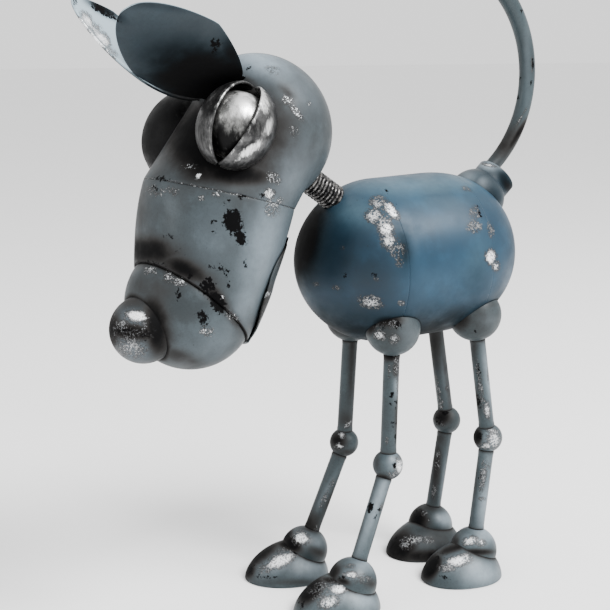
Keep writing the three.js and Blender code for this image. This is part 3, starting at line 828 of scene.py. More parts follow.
def tail_rings():
    """Rings along the arc that thicken evenly and close in a half-round tip."""
    t = np.linspace(0, 1, TAIL_ROWS)
    angle = TAIL_START + t * (TAIL_END - TAIL_START)
    radius = TAIL_ROOT_RADIUS + t * (TAIL_TIP_RADIUS - TAIL_ROOT_RADIUS)
    turn = np.linspace(8, 84, TAIL_TIP_ROWS) * DEG
    angle = np.concatenate([angle, TAIL_END + TAIL_TIP_RADIUS / TAIL_ARC * np.sin(turn)])
    radius = np.concatenate([radius, TAIL_TIP_RADIUS * np.cos(turn)])
    return tube_rings(on_tail(angle), radius, TAIL_COLUMNS)


def cup_rings():
    """A short cylinder with a domed top, turned round its own axis: the top's radius falls with a
    power of the cosine of an angle whose sine lifts it."""
    turn = np.linspace(0, NEAR_TIP, CUP_TOP_ROWS) * DEG
    side = np.linspace(-CUP_BURIED, CUP_SIDE_END, CUP_SIDE_ROWS)
    top = CUP_RADIUS * np.cos(turn) ** CUP_TOP_POWER
    radius = np.concatenate([np.full(len(side), CUP_RADIUS), top])
    along = np.concatenate([side, CUP_DOME * np.sin(turn)])
    around = circle(CUP_COLUMNS)[None, :, None]
    flat = np.cos(around) * np.array((1.0, 0, 0)) + np.sin(around) * CUP_OVER
    return np.array(CUP_CENTRE) + along[:, None, None] * CUP_AXIS + radius[:, None, None] * flat


def spring_path(pitch, radius):
    """A helix round the line from the spring's top to its foot, drawn on past both ends: the line
    plus the radius times (cos, sin) of an angle that grows by one turn for each pitch."""
    line = SPRING_FOOT - SPRING_TOP
    length = np.linalg.norm(line) + SPRING_REACH + SPRING_OVERRUN
    axis = unit(line)
    across = np.array((1.0, 0, 0))
    over = np.cross(axis, across)
    turns = length / pitch
    angle = np.linspace(0, turns * 2 * math.pi, int(turns * WIRE_STEPS_A_TURN))[:, None]
    along = angle / (2 * math.pi) * pitch - SPRING_REACH
    return SPRING_TOP + along * axis + radius * (np.cos(angle) * across + np.sin(angle) * over)


# Materials.


class Recipe:
    """A material's nodes, with one method for each kind of step."""

    def __init__(self, name):
        self.material = bpy.data.materials.new(name)
        self.material.use_nodes = True
        self.tree = self.material.node_tree
        self.tree.nodes.clear()
        output = self.tree.nodes.new("ShaderNodeOutputMaterial")
        self.shader = self.tree.nodes.new("ShaderNodeBsdfPrincipled")
        self.tree.links.new(self.shader.outputs[0], output.inputs[0])
        self.place = self.tree.nodes.new("ShaderNodeTexCoord").outputs["Object"]

    def put(self, socket, value):
        """Links a node's result to a socket, or sets the socket to a plain value."""
        if isinstance(value, bpy.types.NodeSocket):
            self.tree.links.new(value, socket)
        elif hasattr(value, "__len__") and len(value) == 3 and len(socket.default_value) == 4:
            socket.default_value = (*value, 1)
        else:
            socket.default_value = value

    def noise(self, scale, detail=4, roughness=0.55, stretch=(1, 1, 1), offset=0):
        """Fractal noise of the piece's own place, with scale in features a metre."""
        mapping = self.tree.nodes.new("ShaderNodeMapping")
        self.put(mapping.inputs["Vector"], self.place)
        mapping.inputs["Scale"].default_value = stretch
        mapping.inputs["Location"].default_value = (offset, offset, offset)
        node = self.tree.nodes.new("ShaderNodeTexNoise")
        self.put(node.inputs["Vector"], mapping.outputs[0])
        node.inputs["Scale"].default_value = scale
        node.inputs["Detail"].default_value = detail
        node.inputs["Roughness"].default_value = roughness
        return node.outputs[0]

    def span(self, value, low, high, to_low=0.0, to_high=1.0):
        """Takes low..high to to_low..to_high on a smooth curve."""
        node = self.tree.nodes.new("ShaderNodeMapRange")
        node.interpolation_type = "SMOOTHSTEP"
        self.put(node.inputs["Value"], value)
        ends = {"From Min": low, "From Max": high, "To Min": to_low, "To Max": to_high}
        for socket, number in ends.items():
            node.inputs[socket].default_value = number
        return node.outputs[0]

    def maths(self, operation, first, second=0.0, clamp=False):
        """One step of arithmetic."""
        node = self.tree.nodes.new("ShaderNodeMath")
        node.operation = operation
        node.use_clamp = clamp
        self.put(node.inputs[0], first)
        self.put(node.inputs[1], second)
        return node.outputs[0]

    def times(self, first, second, clamp=False):
        """The product of two values."""
        return self.maths("MULTIPLY", first, second, clamp)

    def plus(self, first, second):
        """The sum of two values."""
        return self.maths("ADD", first, second)

    def blend(self, factor, first, second):
        """The first colour, turned into the second by a factor."""
        node = self.tree.nodes.new("ShaderNodeMix")
        node.data_type = "RGBA"
        self.put(node.inputs[0], factor)
        self.put(node.inputs[6], first)
        self.put(node.inputs[7], second)
        return node.outputs[2]

    def mark(self, layer):
        """The strength of a kind of mark, stored on the piece's points."""
        node = self.tree.nodes.new("ShaderNodeAttribute")
        node.attribute_name = layer
        return node.outputs["Fac"]

    def ragged(self, layer, *noises):
        """A mark's strength with noises added, each about zero and times its weight."""
        field = self.mark(layer)
        for noise, weight in noises:
            field = self.plus(field, self.times(self.plus(noise, -0.5), weight))
        return field

    def bump(self, height, strength, distance=0.0004):
        """Lets a height move the shader's normal."""
        node = self.tree.nodes.new("ShaderNodeBump")
        node.inputs["Strength"].default_value = strength
        node.inputs["Distance"].default_value = distance
        self.put(node.inputs["Height"], height)
        self.put(self.shader.inputs["Normal"], node.outputs[0])


BLACK = (0.002, 0.002, 0.0022)
# The soot colours below also paint shade: in creases, round the eyes, where parts meet and on shaded
# sides.
SOOT_AND_SHADE_BLACK = (0.003, 0.003, 0.0032)
BROWN_SOOT_AND_SHADE = (0.024, 0.0225, 0.0215)
BLUE_SOOT_AND_SHADE = (0.006, 0.014, 0.020)
# The bright bare steel below also gives the painted highlights on the nose and the cup's rim, and the
# polished steel the painted highlight on the eyeballs.
BARE_AND_HIGHLIGHT = (0.95, 0.96, 0.97)
POLISH_AND_HIGHLIGHT = (0.72, 0.72, 0.71)
BARE_MIDDLE = (0.245, 0.255, 0.265)
BARE_BRIGHT = (0.66, 0.69, 0.71)
BARE_DARK = (0.032, 0.034, 0.035)
RUST = (0.0125, 0.0112, 0.0106)
BALL_STEEL = ((0.32, 0.32, 0.31), (0.035, 0.035, 0.035))
LID_STEEL = ((0.095, 0.095, 0.095), (0.010, 0.010, 0.0105))
WIRE_BLACK = (0.010, 0.010, 0.011)
WIRE_GLINT = (0.16, 0.155, 0.15)
FLOOR_SHADE = (0.80, 0.80, 0.80)


def scaled(colour, share):
    """A colour made darker or lighter."""
    return tuple(share * c for c in colour)


def worn_paint(
    name, light, dark, pale_and_highlight, deep_and_shade, soot_and_shade_colour=BROWN_SOOT_AND_SHADE, gloss=0.42, grit=4.6, grain=0.35, weak=BARE_MIDDLE
):
    """Satin paint that its marks lighten, deepen, blacken with soot, flake and wear to bare metal.

    The lightening is pale paint and painted highlights, the deepening painted shade, and the
    blackening airbrushed soot and painted shade; on the nose and the cup's rim the bare patches
    are also a painted highlight. smoke is the colour of thin soot and of painted shade, gloss
    the paint's roughness, grit how ragged the bare patches are, grain how strong the fine
    specks are, and weak the dull side of the bare metal.
    """
    r = Recipe(name)
    cloud = r.noise(60, 8, 0.62)
    fine = r.noise(600, 10, 0.80, offset=2.3)
    coarse = r.noise(170, 6, 0.6, offset=4.1)
    colour = r.blend(r.span(r.noise(17, 3, 0.5), 0.36, 0.64), dark, light)
    colour = r.blend(r.span(cloud, 0.30, 0.70, 0.0, 0.42), colour, dark)
    patches = r.span(r.noise(44, 4, 0.6, offset=6.6), 0.48, 0.70, 0.0, 0.32)
    colour = r.blend(patches, colour, scaled(light, 1.6))
    colour = r.blend(r.span(fine, 0.46, 0.66, 0.0, grain), colour, deep_and_shade)
    # Deep marks: painted shade over the body's front dome.
    colour = r.blend(r.times(r.mark("deep_and_shade"), r.span(cloud, 0.2, 0.7, 1.05, 0.85), True), colour, deep_and_shade)
    # Pale marks: lighter paint on the ears' inner faces, and painted highlights on lit tops and
    # right-hand sides.
    colour = r.blend(r.times(r.mark("pale_and_highlight"), r.span(coarse, 0.25, 0.75, 1.1, 0.8), True), colour, pale_and_highlight)
    # Soot marks: airbrushed soot, and painted shade in creases, gaps and joins and on the shaded sides.
    soot_and_shade = r.mark("soot_and_shade")
    soot_and_shade = r.times(soot_and_shade, r.span(r.noise(45, 7, 0.62, offset=3.1), 0.25, 0.65, 0.84, 1.16), True)
    colour = r.blend(r.span(soot_and_shade, 0.0, 0.75), colour, soot_and_shade_colour)
    colour = r.blend(r.span(soot_and_shade, 0.35, 1.0), colour, SOOT_AND_SHADE_BLACK)
    # Wear marks give bare metal; on the nose's top and the cup's rim the bright patch is also a painted
    # highlight.
    worn_and_highlit = r.span(r.mark("wear_and_highlight"), 0.04, 0.30)
    field = r.ragged("wear_and_highlight", (fine, grit), (coarse, 1.6))
    bare = r.times(r.span(field, 0.52, 0.70), worn_and_highlit)
    rim = r.times(r.span(field, 0.10, 0.30), worn_and_highlit)
    strong = r.span(r.mark("wear_and_highlight"), 0.40, 0.95)
    scratch = r.noise(1100, 4, 0.7, offset=1.7)
    steel = r.blend(r.span(scratch, 0.38, 0.62), BARE_DARK, weak)
    steel = r.blend(r.times(strong, r.span(scratch, 0.34, 0.48, 0.45, 1.0)), steel, BARE_AND_HIGHLIGHT)
    colour = r.blend(r.times(rim, r.span(strong, 0, 1, 0.9, 0.45)), colour, RUST)
    colour = r.blend(bare, colour, steel)
    holes = r.noise(420, 10, 0.7, offset=7.3)
    black = r.ragged("flake", (holes, 2.6), (coarse, 1.4))
    black = r.times(r.span(black, 0.40, 0.50), r.span(r.mark("flake"), 0.04, 0.25))
    colour = r.blend(black, colour, BLACK)
    sparse = r.span(r.noise(24, 3, 0.6, offset=9.2), 0.54, 0.62)
    specks = r.times(r.span(r.noise(560, 3, 0.5, offset=5.9), 0.70, 0.73), sparse)
    colour = r.blend(r.times(specks, 0.8), colour, BLACK)
    r.put(r.shader.inputs["Base Color"], colour)
    r.put(r.shader.inputs["Metallic"], r.span(bare, 0, 1, 0.1, 0.45))
    rough = r.span(cloud, 0.3, 0.7, gloss - 0.05, gloss + 0.08)
    rough = r.plus(rough, r.times(r.maths("MAXIMUM", black, soot_and_shade), 0.22))
    r.put(r.shader.inputs["Roughness"], r.plus(rough, r.times(bare, -0.08)))
    shine = r.span(r.maths("MAXIMUM", black, soot_and_shade), 0, 0.8, 0.28, 0.03)
    r.put(r.shader.inputs["Specular IOR Level"], shine)
    height = r.plus(r.times(cloud, 0.3), r.times(bare, -0.6))
    height = r.plus(height, r.times(black, -0.8))
    r.bump(r.plus(height, r.times(fine, 0.15)), 0.35)
    return r.material


def worn_steel(name, light, dark, gloss, streaks):
    """Brushed steel, darkened by soot and painted shade and brightened by wear.

    On the eyeballs the bright marks are a painted highlight, and the dark ones painted shade and
    a painted dark reflection.
    """
    r = Recipe(name)
    patches = r.span(r.noise(80, 8, 0.66), 0.34, 0.62)
    scratch = r.noise(260, 8, 0.72, stretch=streaks)
    colour = r.blend(patches, dark, light)
    colour = r.blend(r.span(scratch, 0.46, 0.62, 0.0, 0.6), colour, dark)
    bright = r.span(r.ragged("wear_and_highlight", (scratch, 2.6)), 0.35, 1.05)
    bright = r.times(bright, r.span(r.mark("wear_and_highlight"), 0.02, 0.25))
    colour = r.blend(bright, colour, POLISH_AND_HIGHLIGHT)
    soot_and_shade = r.span(r.ragged("soot_and_shade", (scratch, 1.5)), 0.1, 0.95)
    soot_and_shade = r.times(soot_and_shade, r.span(r.mark("soot_and_shade"), 0.02, 0.25))
    colour = r.blend(soot_and_shade, colour, SOOT_AND_SHADE_BLACK)
    r.put(r.shader.inputs["Base Color"], colour)
    r.shader.inputs["Metallic"].default_value = 0.85
    rough = r.span(patches, 0, 1, gloss + 0.12, gloss)
    r.put(r.shader.inputs["Roughness"], r.plus(rough, r.times(soot_and_shade, 0.2)))
    r.bump(r.plus(scratch, patches), 0.14)
    return r.material


def black_wire(name):
    """Oiled black wire with streaks that catch the light."""
    r = Recipe(name)
    streak = r.noise(420, 5, 0.6)
    colour = r.blend(r.span(streak, 0.44, 0.6), WIRE_BLACK, WIRE_GLINT)
    r.put(r.shader.inputs["Base Color"], colour)
    r.shader.inputs["Metallic"].default_value = 0.8
    r.put(r.shader.inputs["Roughness"], r.span(streak, 0.4, 0.65, 0.40, 0.26))
    r.bump(streak, 0.1)
    return r.material


def pale_floor(name, colour):
    """Matt floor with a trace of unevenness."""
    r = Recipe(name)
    shade = r.span(r.noise(1.5, 3, 0.5), 0.3, 0.7, 0.0, 0.04)
    r.put(r.shader.inputs["Base Color"], r.blend(shade, colour, FLOOR_SHADE))
    r.shader.inputs["Roughness"].default_value = 0.85
    return r.material


# Marks, as (x, y, half width, half height, turn, strength) in pixels of the photograph.


def marks(wear_and_highlight=(), soot_and_shade=(), flake=(), pale_and_highlight=(), deep_and_shade=()):
    """Bare metal, soot, black flakes, pale paint and deep paint of one piece; bare metal and pale
    paint also give painted highlights, soot and deep paint painted shade.
    """
    return {"wear_and_highlight": wear_and_highlight, "soot_and_shade": soot_and_shade, "flake": flake, "pale_and_highlight": pale_and_highlight, "deep_and_shade": deep_and_shade}


BODY_MARKS = marks(
    wear_and_highlight=[
        (378, 203, 9, 8, 10, 0.62), (374, 215, 9, 8, 0, 0.74), (384, 222, 10, 9, 30, 0.62),
        (391, 210, 5, 12, -38, 0.92), (372, 220, 5, 4, 0, 0.7), (386, 229, 8, 8, 0, 0.84),
        (389, 241, 9, 9, -30, 0.72), (397, 250, 9, 8, 0, 0.50), (399, 262, 5, 6, 0, 0.36),
        (371, 302, 13, 7, 12, 0.66), (475, 213, 6, 8, 0, 0.46), (474, 227, 8, 7, 0, 0.50),
        (491, 230, 4, 10, -10, 0.40), (491, 257, 6, 8, 0, 0.94), (496, 266, 4, 6, 0, 0.72),
        (402, 303, 5, 3, 0, 0.45), (316, 284, 5, 3, 0, 0.25), (336, 288, 5, 3, 20, 0.4),
        (467, 189, 8, 3, 20, 0.30), (342, 248, 4, 3, 0, 0.25), (376, 279, 4, 3, 40, 0.28),
    ],
    flake=[
        (342, 249, 4, 2, 0, 0.35), (345, 275, 2, 3, 0, 0.6), (374, 275, 4, 3, 50, 0.5),
        (399, 261, 3, 5, 0, 0.4), (480, 213, 2, 9, -15, 0.55), (474, 231, 5, 3, 0, 0.4),
        (386, 191, 2, 4, -40, 0.5), (398, 208, 1.2, 8, -30, 0.35),
    ],
    # Soot marks here are mostly painted shade: the front dome's shaded left edge, under the neck, above
    # the hips and along the belly.
    soot_and_shade=[
        (298, 228, 27, 66, 8, 1.3), (326, 196, 26, 12, -30, 0.55), (404, 248, 10, 26, -8, 0.60),
        (383, 322, 20, 8, -12, 0.75), (430, 334, 60, 12, -5, 0.42), (484, 309, 22, 7, -30, 0.6),
        (474, 284, 22, 48, 10, 0.34), (330, 330, 50, 14, 20, 0.35), (515, 240, 8, 40, 0, 0.25),
    ],
    # Pale marks here are painted highlights along the lit top and on the front dome's upper right.
    pale_and_highlight=[
        (356, 211, 26, 15, 10, 0.30), (420, 184, 80, 12, -3, 0.36), (478, 262, 12, 24, 12, 0.16),
        (440, 200, 40, 10, 0, 0.14),
    ],
    # Deep marks are painted shade over the front dome and its lower front.
    deep_and_shade=[(334, 256, 50, 56, 0, 1.0), (372, 276, 34, 36, 0, 0.9), (345, 308, 60, 24, 15, 0.75)],
)
HEAD_MARKS = marks(
    wear_and_highlight=[
        (288, 101, 8, 5, 40, 0.56), (296, 112, 3.5, 12, -38, 0.52), (273, 70, 9, 5, 15, 0.32),
        (274, 178, 9, 6, 40, 0.46), (270, 194, 6, 6, 0, 0.75), (272, 209, 9, 8, 0, 0.42),
        (280, 201, 4, 5, 0, 0.4), (198.6, 176, 2.6, 2.2, 0, 1.5), (190, 167, 9, 3, 5, 0.42),
        (156, 191, 12, 7, 10, 0.30), (173, 191, 8, 5, 20, 0.36), (202, 198, 4, 3, 0, 0.55),
        (216, 195, 5, 3, 20, 0.48), (150, 271, 8, 5, 8, 0.40), (167, 277, 5, 7, 0, 0.5),
        (178, 281, 8, 5, 25, 0.5), (207, 331, 8, 6, 20, 0.42), (222, 297, 2.5, 2, 0, 0.8),
        (293, 131, 7, 7, 0, 0.28), (309, 103, 4, 4, 0, 0.22), (232, 316, 6, 14, -40, 0.26),
    ],
    flake=[
        (233, 222, 9, 14, -12, 1.1), (240, 237, 6, 9, -20, 1.0), (225, 202, 8, 6, 15, 0.40),
        (214, 222, 5, 3, 0, 0.36), (215, 231, 4, 3, 0, 0.42), (161, 179, 9, 3, 5, 0.62),
        (157, 188, 6, 6, 0, 0.36), (242, 196, 5, 4, 0, 0.55), (262, 196, 5, 4, 0, 0.4),
        (207, 286, 9, 9, 20, 0.72), (217, 302, 8, 13, -30, 0.85), (217, 268, 9, 5, 20, 0.46),
        (226, 272, 4, 6, 0, 0.4), (203, 316, 7, 8, -35, 0.66), (204, 325, 6, 5, 0, 0.55),
        (178, 294, 3, 8, 0, 0.5), (245, 266, 3, 8, 0, 0.32), (228, 284, 3, 5, 0, 0.4),
        (182, 252, 8, 4, 0, 0.30), (171, 236, 10, 4, 0, 0.26), (153, 263, 14, 3, 8, 0.5),
        (190, 277, 6, 3, 30, 0.5), (249, 68, 6, 4, 0, 0.26),
    ],
    # Soot marks here are airbrushed soot and painted shade: round the eyes, under the ears, along the
    # crease, under the muzzle and down the shaded left side.
    soot_and_shade=[
        (212, 140, 50, 44, 0, 1.25), (236, 174, 38, 13, 5, 1.05), (238, 118, 34, 40, 0, 1.2),
        (146, 251, 34, 15, 4, 1.05), (185, 269, 34, 11, 24, 0.9), (214, 294, 28, 9, 50, 0.75),
        (234, 320, 20, 7, 60, 0.55), (200, 178, 74, 12, 8, 0.42), (286, 91, 18, 8, 40, 0.55),
        (252, 134, 54, 62, 0, 0.74), (246, 82, 16, 10, 0, 0.55), (156, 322, 16, 36, -15, 0.9),
        (178, 356, 36, 10, 22, 0.55), (150, 290, 30, 18, 0, 0.48), (140, 200, 8, 40, 0, 0.4),
        (312, 150, 8, 40, 12, 0.24), (251, 330, 7, 26, 30, 0.3),
    ],
    # Pale marks here are painted highlights on the top of the skull and the lit right side of the
    # muzzle.
    pale_and_highlight=[
        (254, 59, 36, 14, 20, 1.1), (300, 90, 18, 26, -30, 0.22), (264, 242, 18, 56, 12, 0.42),
        (288, 172, 16, 30, 20, 0.40), (218, 347, 26, 18, -10, 0.14), (246, 300, 11, 30, 22, 0.3),
        (215, 240, 26, 26, 0, 0.12),
    ],
)
# The bright patch at the top of the nose is a painted highlight and that at the bottom wear; the soot
# marks darken its middle band and sides.
NOSE_MARKS = marks(
    wear_and_highlight=[
        (137, 316, 11, 5.5, 12, 1.1), (131, 348, 17, 11, 10, 0.58), (122, 324, 8, 6, 0, 0.5),
        (130, 332, 24, 27, 0, 0.26),
    ],
    soot_and_shade=[
        (134, 332, 34, 8, 6, 1.1), (156, 328, 12, 30, -10, 1.1), (112, 330, 8, 22, 0, 0.9),
        (134, 300, 26, 8, 0, 0.5),
    ],
    pale_and_highlight=[(136, 318, 13, 7, 12, 0.5), (131, 349, 18, 10, 10, 0.55)],
    flake=[(126, 331, 12, 5, 0, 0.35), (146, 336, 8, 8, 0, 0.35)],
)
# Soot on the jaw is painted shade along its seam under the muzzle and at the mouth.
JAW_MARKS = marks(
    wear_and_highlight=[(264, 295, 8, 4, -30, 0.5)],
    soot_and_shade=[(262, 310, 30, 40, 0, 0.55), (290, 240, 12, 40, 10, 0.9)],
)
LID_MARKS = marks(
    wear_and_highlight=[
        (262, 99, 6, 17, -15, 1.0), (250, 150, 18, 5, -38, 1.0), (268, 128, 5, 12, 20, 0.9),
        (211, 98, 4, 12, 25, 0.55), (205, 128, 3, 16, 0, 0.3),
    ],
    # Lid soot is painted shade: over the far eye, which lies in shadow, and in the gaps round the
    # eyeball.
    soot_and_shade=[
        (200, 135, 8, 30, 0, 0.75), (219, 162, 12, 8, 0, 0.55), (243, 166, 22, 5, -15, 0.55),
        (277, 112, 4, 24, 0, 0.65), (258, 128, 7, 12, 25, 0.55), (155, 125, 46, 60, 0, 1.3),
        (236, 80, 30, 4, 0, 0.4),
    ],
)
# On the eyeball the wear marks are a painted highlight at the top; the soot marks are painted shade in
# the gaps and over the far eye, and a painted dark reflection below.
BALL_MARKS = marks(
    wear_and_highlight=[(241, 103, 15, 15, 0, 1.2), (236, 112, 18, 8, 0, 0.7)],
    soot_and_shade=[
        (226, 142, 26, 17, 10, 1.15), (211, 116, 7, 34, 8, 0.9), (236, 85, 26, 5, 0, 1.0),
        (155, 125, 46, 60, 0, 1.3),
    ],
)
EAR_MARKS = marks(
    wear_and_highlight=[
        (100, 40, 12, 8, 42, 0.92), (86, 22, 7, 11, -30, 0.86), (93, 32, 9, 9, 40, 0.66),
        (110, 52, 10, 5, 45, 0.6),
    ],
    flake=[
        (216, 43, 6, 5, 0, 0.8), (214, 51, 3.5, 4, 0, 0.6), (104, 12, 18, 4, 28, 0.62),
        (75, 2, 3, 4, 0, 0.7),
    ],
    # Soot at the near ear's root is airbrushed black, deepened with painted shade beside the eye.
    soot_and_shade=[
        (216, 88, 78, 40, 18, 1.35), (232, 58, 18, 30, 0, 0.8), (160, 6, 60, 6, 8, 0.35),
        (104, 9, 24, 6, 30, 0.85),
    ],
)
CUP_MARKS = marks(
    soot_and_shade=[(508, 186, 8, 22, -30, 0.8), (500, 190, 10, 8, 0, 0.5)],
    # The wear and pale marks on the cup's top edge are a painted highlight.
    wear_and_highlight=[(489, 165, 8, 1.6, 12, 0.75)],
    pale_and_highlight=[(489, 166, 10, 4, 10, 1.0)],
)
SOCKET_MARKS = marks(
    # Soot on the socket dome is painted shade where it meets the body.
    soot_and_shade=[(492, 196, 12, 20, -30, 0.6), (478, 188, 30, 4, 25, 0.4)],
    pale_and_highlight=[(468, 177, 8, 5, 0, 0.4), (482, 181, 5, 4, 0, 0.3)],
)
TAIL_MARKS = marks(
    wear_and_highlight=[(532, 64, 1.6, 9, 0, 0.40), (521, 118, 1.2, 16, 30, 0.4)],
    soot_and_shade=[
        (507, 144, 14, 30, 36, 0.62), (517, 136, 4, 26, 33, 0.85), (514, 90, 3, 30, 8, 0.5),
        (503, 12, 4, 20, -25, 0.4),
    ],
    flake=[
        (533, 63, 1.3, 8, 0, 0.75), (531, 83, 1.3, 3, 15, 0.5), (523, 11, 3, 3, 40, 0.5),
        (520, 79, 1.5, 3, 0, 0.5), (518, 98, 1.5, 4, 20, 0.5),
    ],
    pale_and_highlight=[(527, 60, 4, 50, 0, 0.12)],
)
# In the leg tables below, pale marks are partly painted highlights on the lit right-hand sides of
# joints and feet, and soot marks partly painted shade under the hips, at the joints and along the
# soles.
HIP_MARKS = {
    "front_left": marks(
        wear_and_highlight=[
            (379, 335, 7, 5, 20, 0.75), (394, 339, 6, 5, 0, 0.6), (392, 325, 11, 5, 0, 0.36),
            (378, 325, 6, 4, 0, 0.36),
        ],
        soot_and_shade=[(389, 320, 18, 8, 0, 0.85), (372, 326, 6, 14, 20, 0.7), (392, 334, 34, 30, 0, 0.38)],
        flake=[(380, 325, 10, 5, 10, 0.36), (398, 324, 5, 7, 0, 0.46)],
        pale_and_highlight=[(408, 334, 10, 12, 0, 0.2)],
    ),
    "front_right": marks(soot_and_shade=[(345, 330, 26, 12, 0, 0.5)]),
    "rear_left": marks(
        soot_and_shade=[(462, 322, 16, 12, -30, 0.7), (490, 306, 16, 6, -20, 0.4), (477, 320, 36, 30, 0, 0.42)],
        flake=[(475, 331, 3, 2.5, 40, 0.55)],
        pale_and_highlight=[(489, 321, 10, 9, 0, 0.2)],
    ),
    "rear_right": marks(),
}
KNEE_MARKS = {
    "front_right": marks(
        wear_and_highlight=[(342, 435, 4, 4, 30, 0.66), (339, 446, 5, 3, 10, 0.66)],
        soot_and_shade=[(338, 441, 10, 12, 0, 0.9), (345, 452, 16, 6, 0, 0.5)],
    ),
    "front_left": marks(
        wear_and_highlight=[(400, 466, 6, 10, 0, 0.75), (393, 475, 8, 4, 10, 0.5)],
        soot_and_shade=[(384, 478, 10, 4, 20, 0.7), (377, 462, 4, 12, 0, 0.4)],
        flake=[(394, 465, 2.5, 3, 0, 0.7), (391, 460, 4, 3, 0, 0.4)],
        pale_and_highlight=[(396, 462, 9, 9, 0, 0.5)],
    ),
    "rear_right": marks(
        wear_and_highlight=[(441, 424, 5, 3, 30, 0.42)],
        soot_and_shade=[(443, 417, 12, 10, 0, 0.8), (446, 424, 14, 12, 0, 0.3)],
        flake=[(445, 413, 4, 5, 0, 0.6), (439, 420, 5, 7, 0, 0.4)],
    ),
    "rear_left": marks(
        wear_and_highlight=[(494, 440, 8, 10, 0, 0.72), (487, 446, 8, 4, 0, 0.7), (491, 431, 6, 3, 0, 0.5)],
        soot_and_shade=[(477, 437, 6, 10, 0, 0.9)],
        flake=[(480, 436, 3, 4, 0, 0.6), (489, 435, 6, 1.5, 10, 0.35)],
        pale_and_highlight=[(492, 440, 10, 10, 0, 0.6)],
    ),
}
ROD_MARKS = {
    "upper_leg_front_right": marks(
        wear_and_highlight=[(348, 424, 3, 5, 40, 0.62)],
        soot_and_shade=[(352, 356, 5, 60, 2, 0.55), (346, 420, 14, 14, 0, 0.45)],
    ),
    "upper_leg_front_left": marks(
        wear_and_highlight=[
            (398, 384, 2, 14, 0, 0.42), (389, 372, 2, 10, 0, 0.38), (387, 441, 2, 5, 0, 0.4),
            (399, 396, 2.2, 44, 0, 0.52), (396, 362, 3, 16, 0, 0.5),
        ],
        soot_and_shade=[(392, 354, 12, 8, 0, 1.1), (396, 370, 7, 12, 0, 0.6), (397, 420, 3, 30, 0, 0.5)],
        flake=[
            (392, 395, 2.5, 3, 0, 0.75), (391, 404, 2, 2, 0, 0.7), (396, 404, 2, 7, 0, 0.42),
            (394, 423, 3, 5, 0, 0.45), (396, 436, 2, 8, 0, 0.42),
        ],
        pale_and_highlight=[(397, 386, 3, 16, 0, 0.5)],
    ),
    "upper_leg_rear_right": marks(
        wear_and_highlight=[(438, 390, 2.5, 16, -10, 0.46), (447, 388, 2, 2, 0, 0.5), (441, 405, 3, 6, 0, 0.5)],
        soot_and_shade=[(434, 345, 12, 30, 0, 0.55), (447, 380, 4, 50, -8, 0.55)],
        pale_and_highlight=[(446, 380, 3, 24, -8, 0.25)],
    ),
    "upper_leg_rear_left": marks(
        wear_and_highlight=[(487, 410, 3, 10, -4, 0.74), (480, 385, 3, 26, -8, 0.46), (489, 374, 2, 10, 0, 0.5)],
        soot_and_shade=[(474, 346, 5, 20, 0, 0.5), (476, 400, 4, 18, -8, 0.55), (483, 338, 12, 5, 0, 0.6)],
        flake=[(479, 372, 3, 10, 0, 0.42), (479, 402, 2.5, 10, -8, 0.5)],
        pale_and_highlight=[(489, 380, 4, 34, -8, 0.5)],
    ),
    "lower_leg_front_right": marks(
        wear_and_highlight=[(331, 485, 2.5, 8, 25, 0.36), (324, 500, 3, 10, 25, 0.46), (316, 528, 2, 4, 0, 0.42)],
        soot_and_shade=[(309, 524, 14, 16, 0, 0.75), (330, 500, 3, 30, 27, 0.5)],
        pale_and_highlight=[(326, 492, 3, 20, 27, 0.25)],
    ),
    "lower_leg_front_left": marks(
        wear_and_highlight=[(381, 508, 2, 6, 20, 0.34)],
        flake=[(370, 507, 3.5, 6, 10, 0.8), (377, 514, 2.5, 8, 20, 0.42)],
        pale_and_highlight=[(378, 500, 5, 50, 20, 0.65), (372, 520, 8, 24, 15, 0.25)],
        soot_and_shade=[(358, 536, 4, 26, 18, 0.3)],
    ),
    "lower_leg_rear_right": marks(
        wear_and_highlight=[(438, 460, 3, 14, 4, 0.40), (434, 492, 3, 9, 4, 0.38)],
        soot_and_shade=[(436, 470, 6, 46, 4, 0.6), (440, 440, 10, 10, 0, 0.5)],
        pale_and_highlight=[(443, 480, 2.5, 20, 6, 0.2)],
    ),
    "lower_leg_rear_left": marks(
        wear_and_highlight=[(483, 476, 4, 18, 8, 0.50), (482, 499, 4, 2.5, 0, 0.5), (488, 466, 4, 4, 0, 0.36)],
        flake=[(480, 480, 2, 9, 4, 0.42), (481, 425, 3, 4, 0, 0.5)],
        pale_and_highlight=[(485, 505, 7, 26, 5, 0.6), (487, 470, 5, 20, 5, 0.3)],
        soot_and_shade=[(476, 480, 2.5, 26, 5, 0.4)],
    ),
}
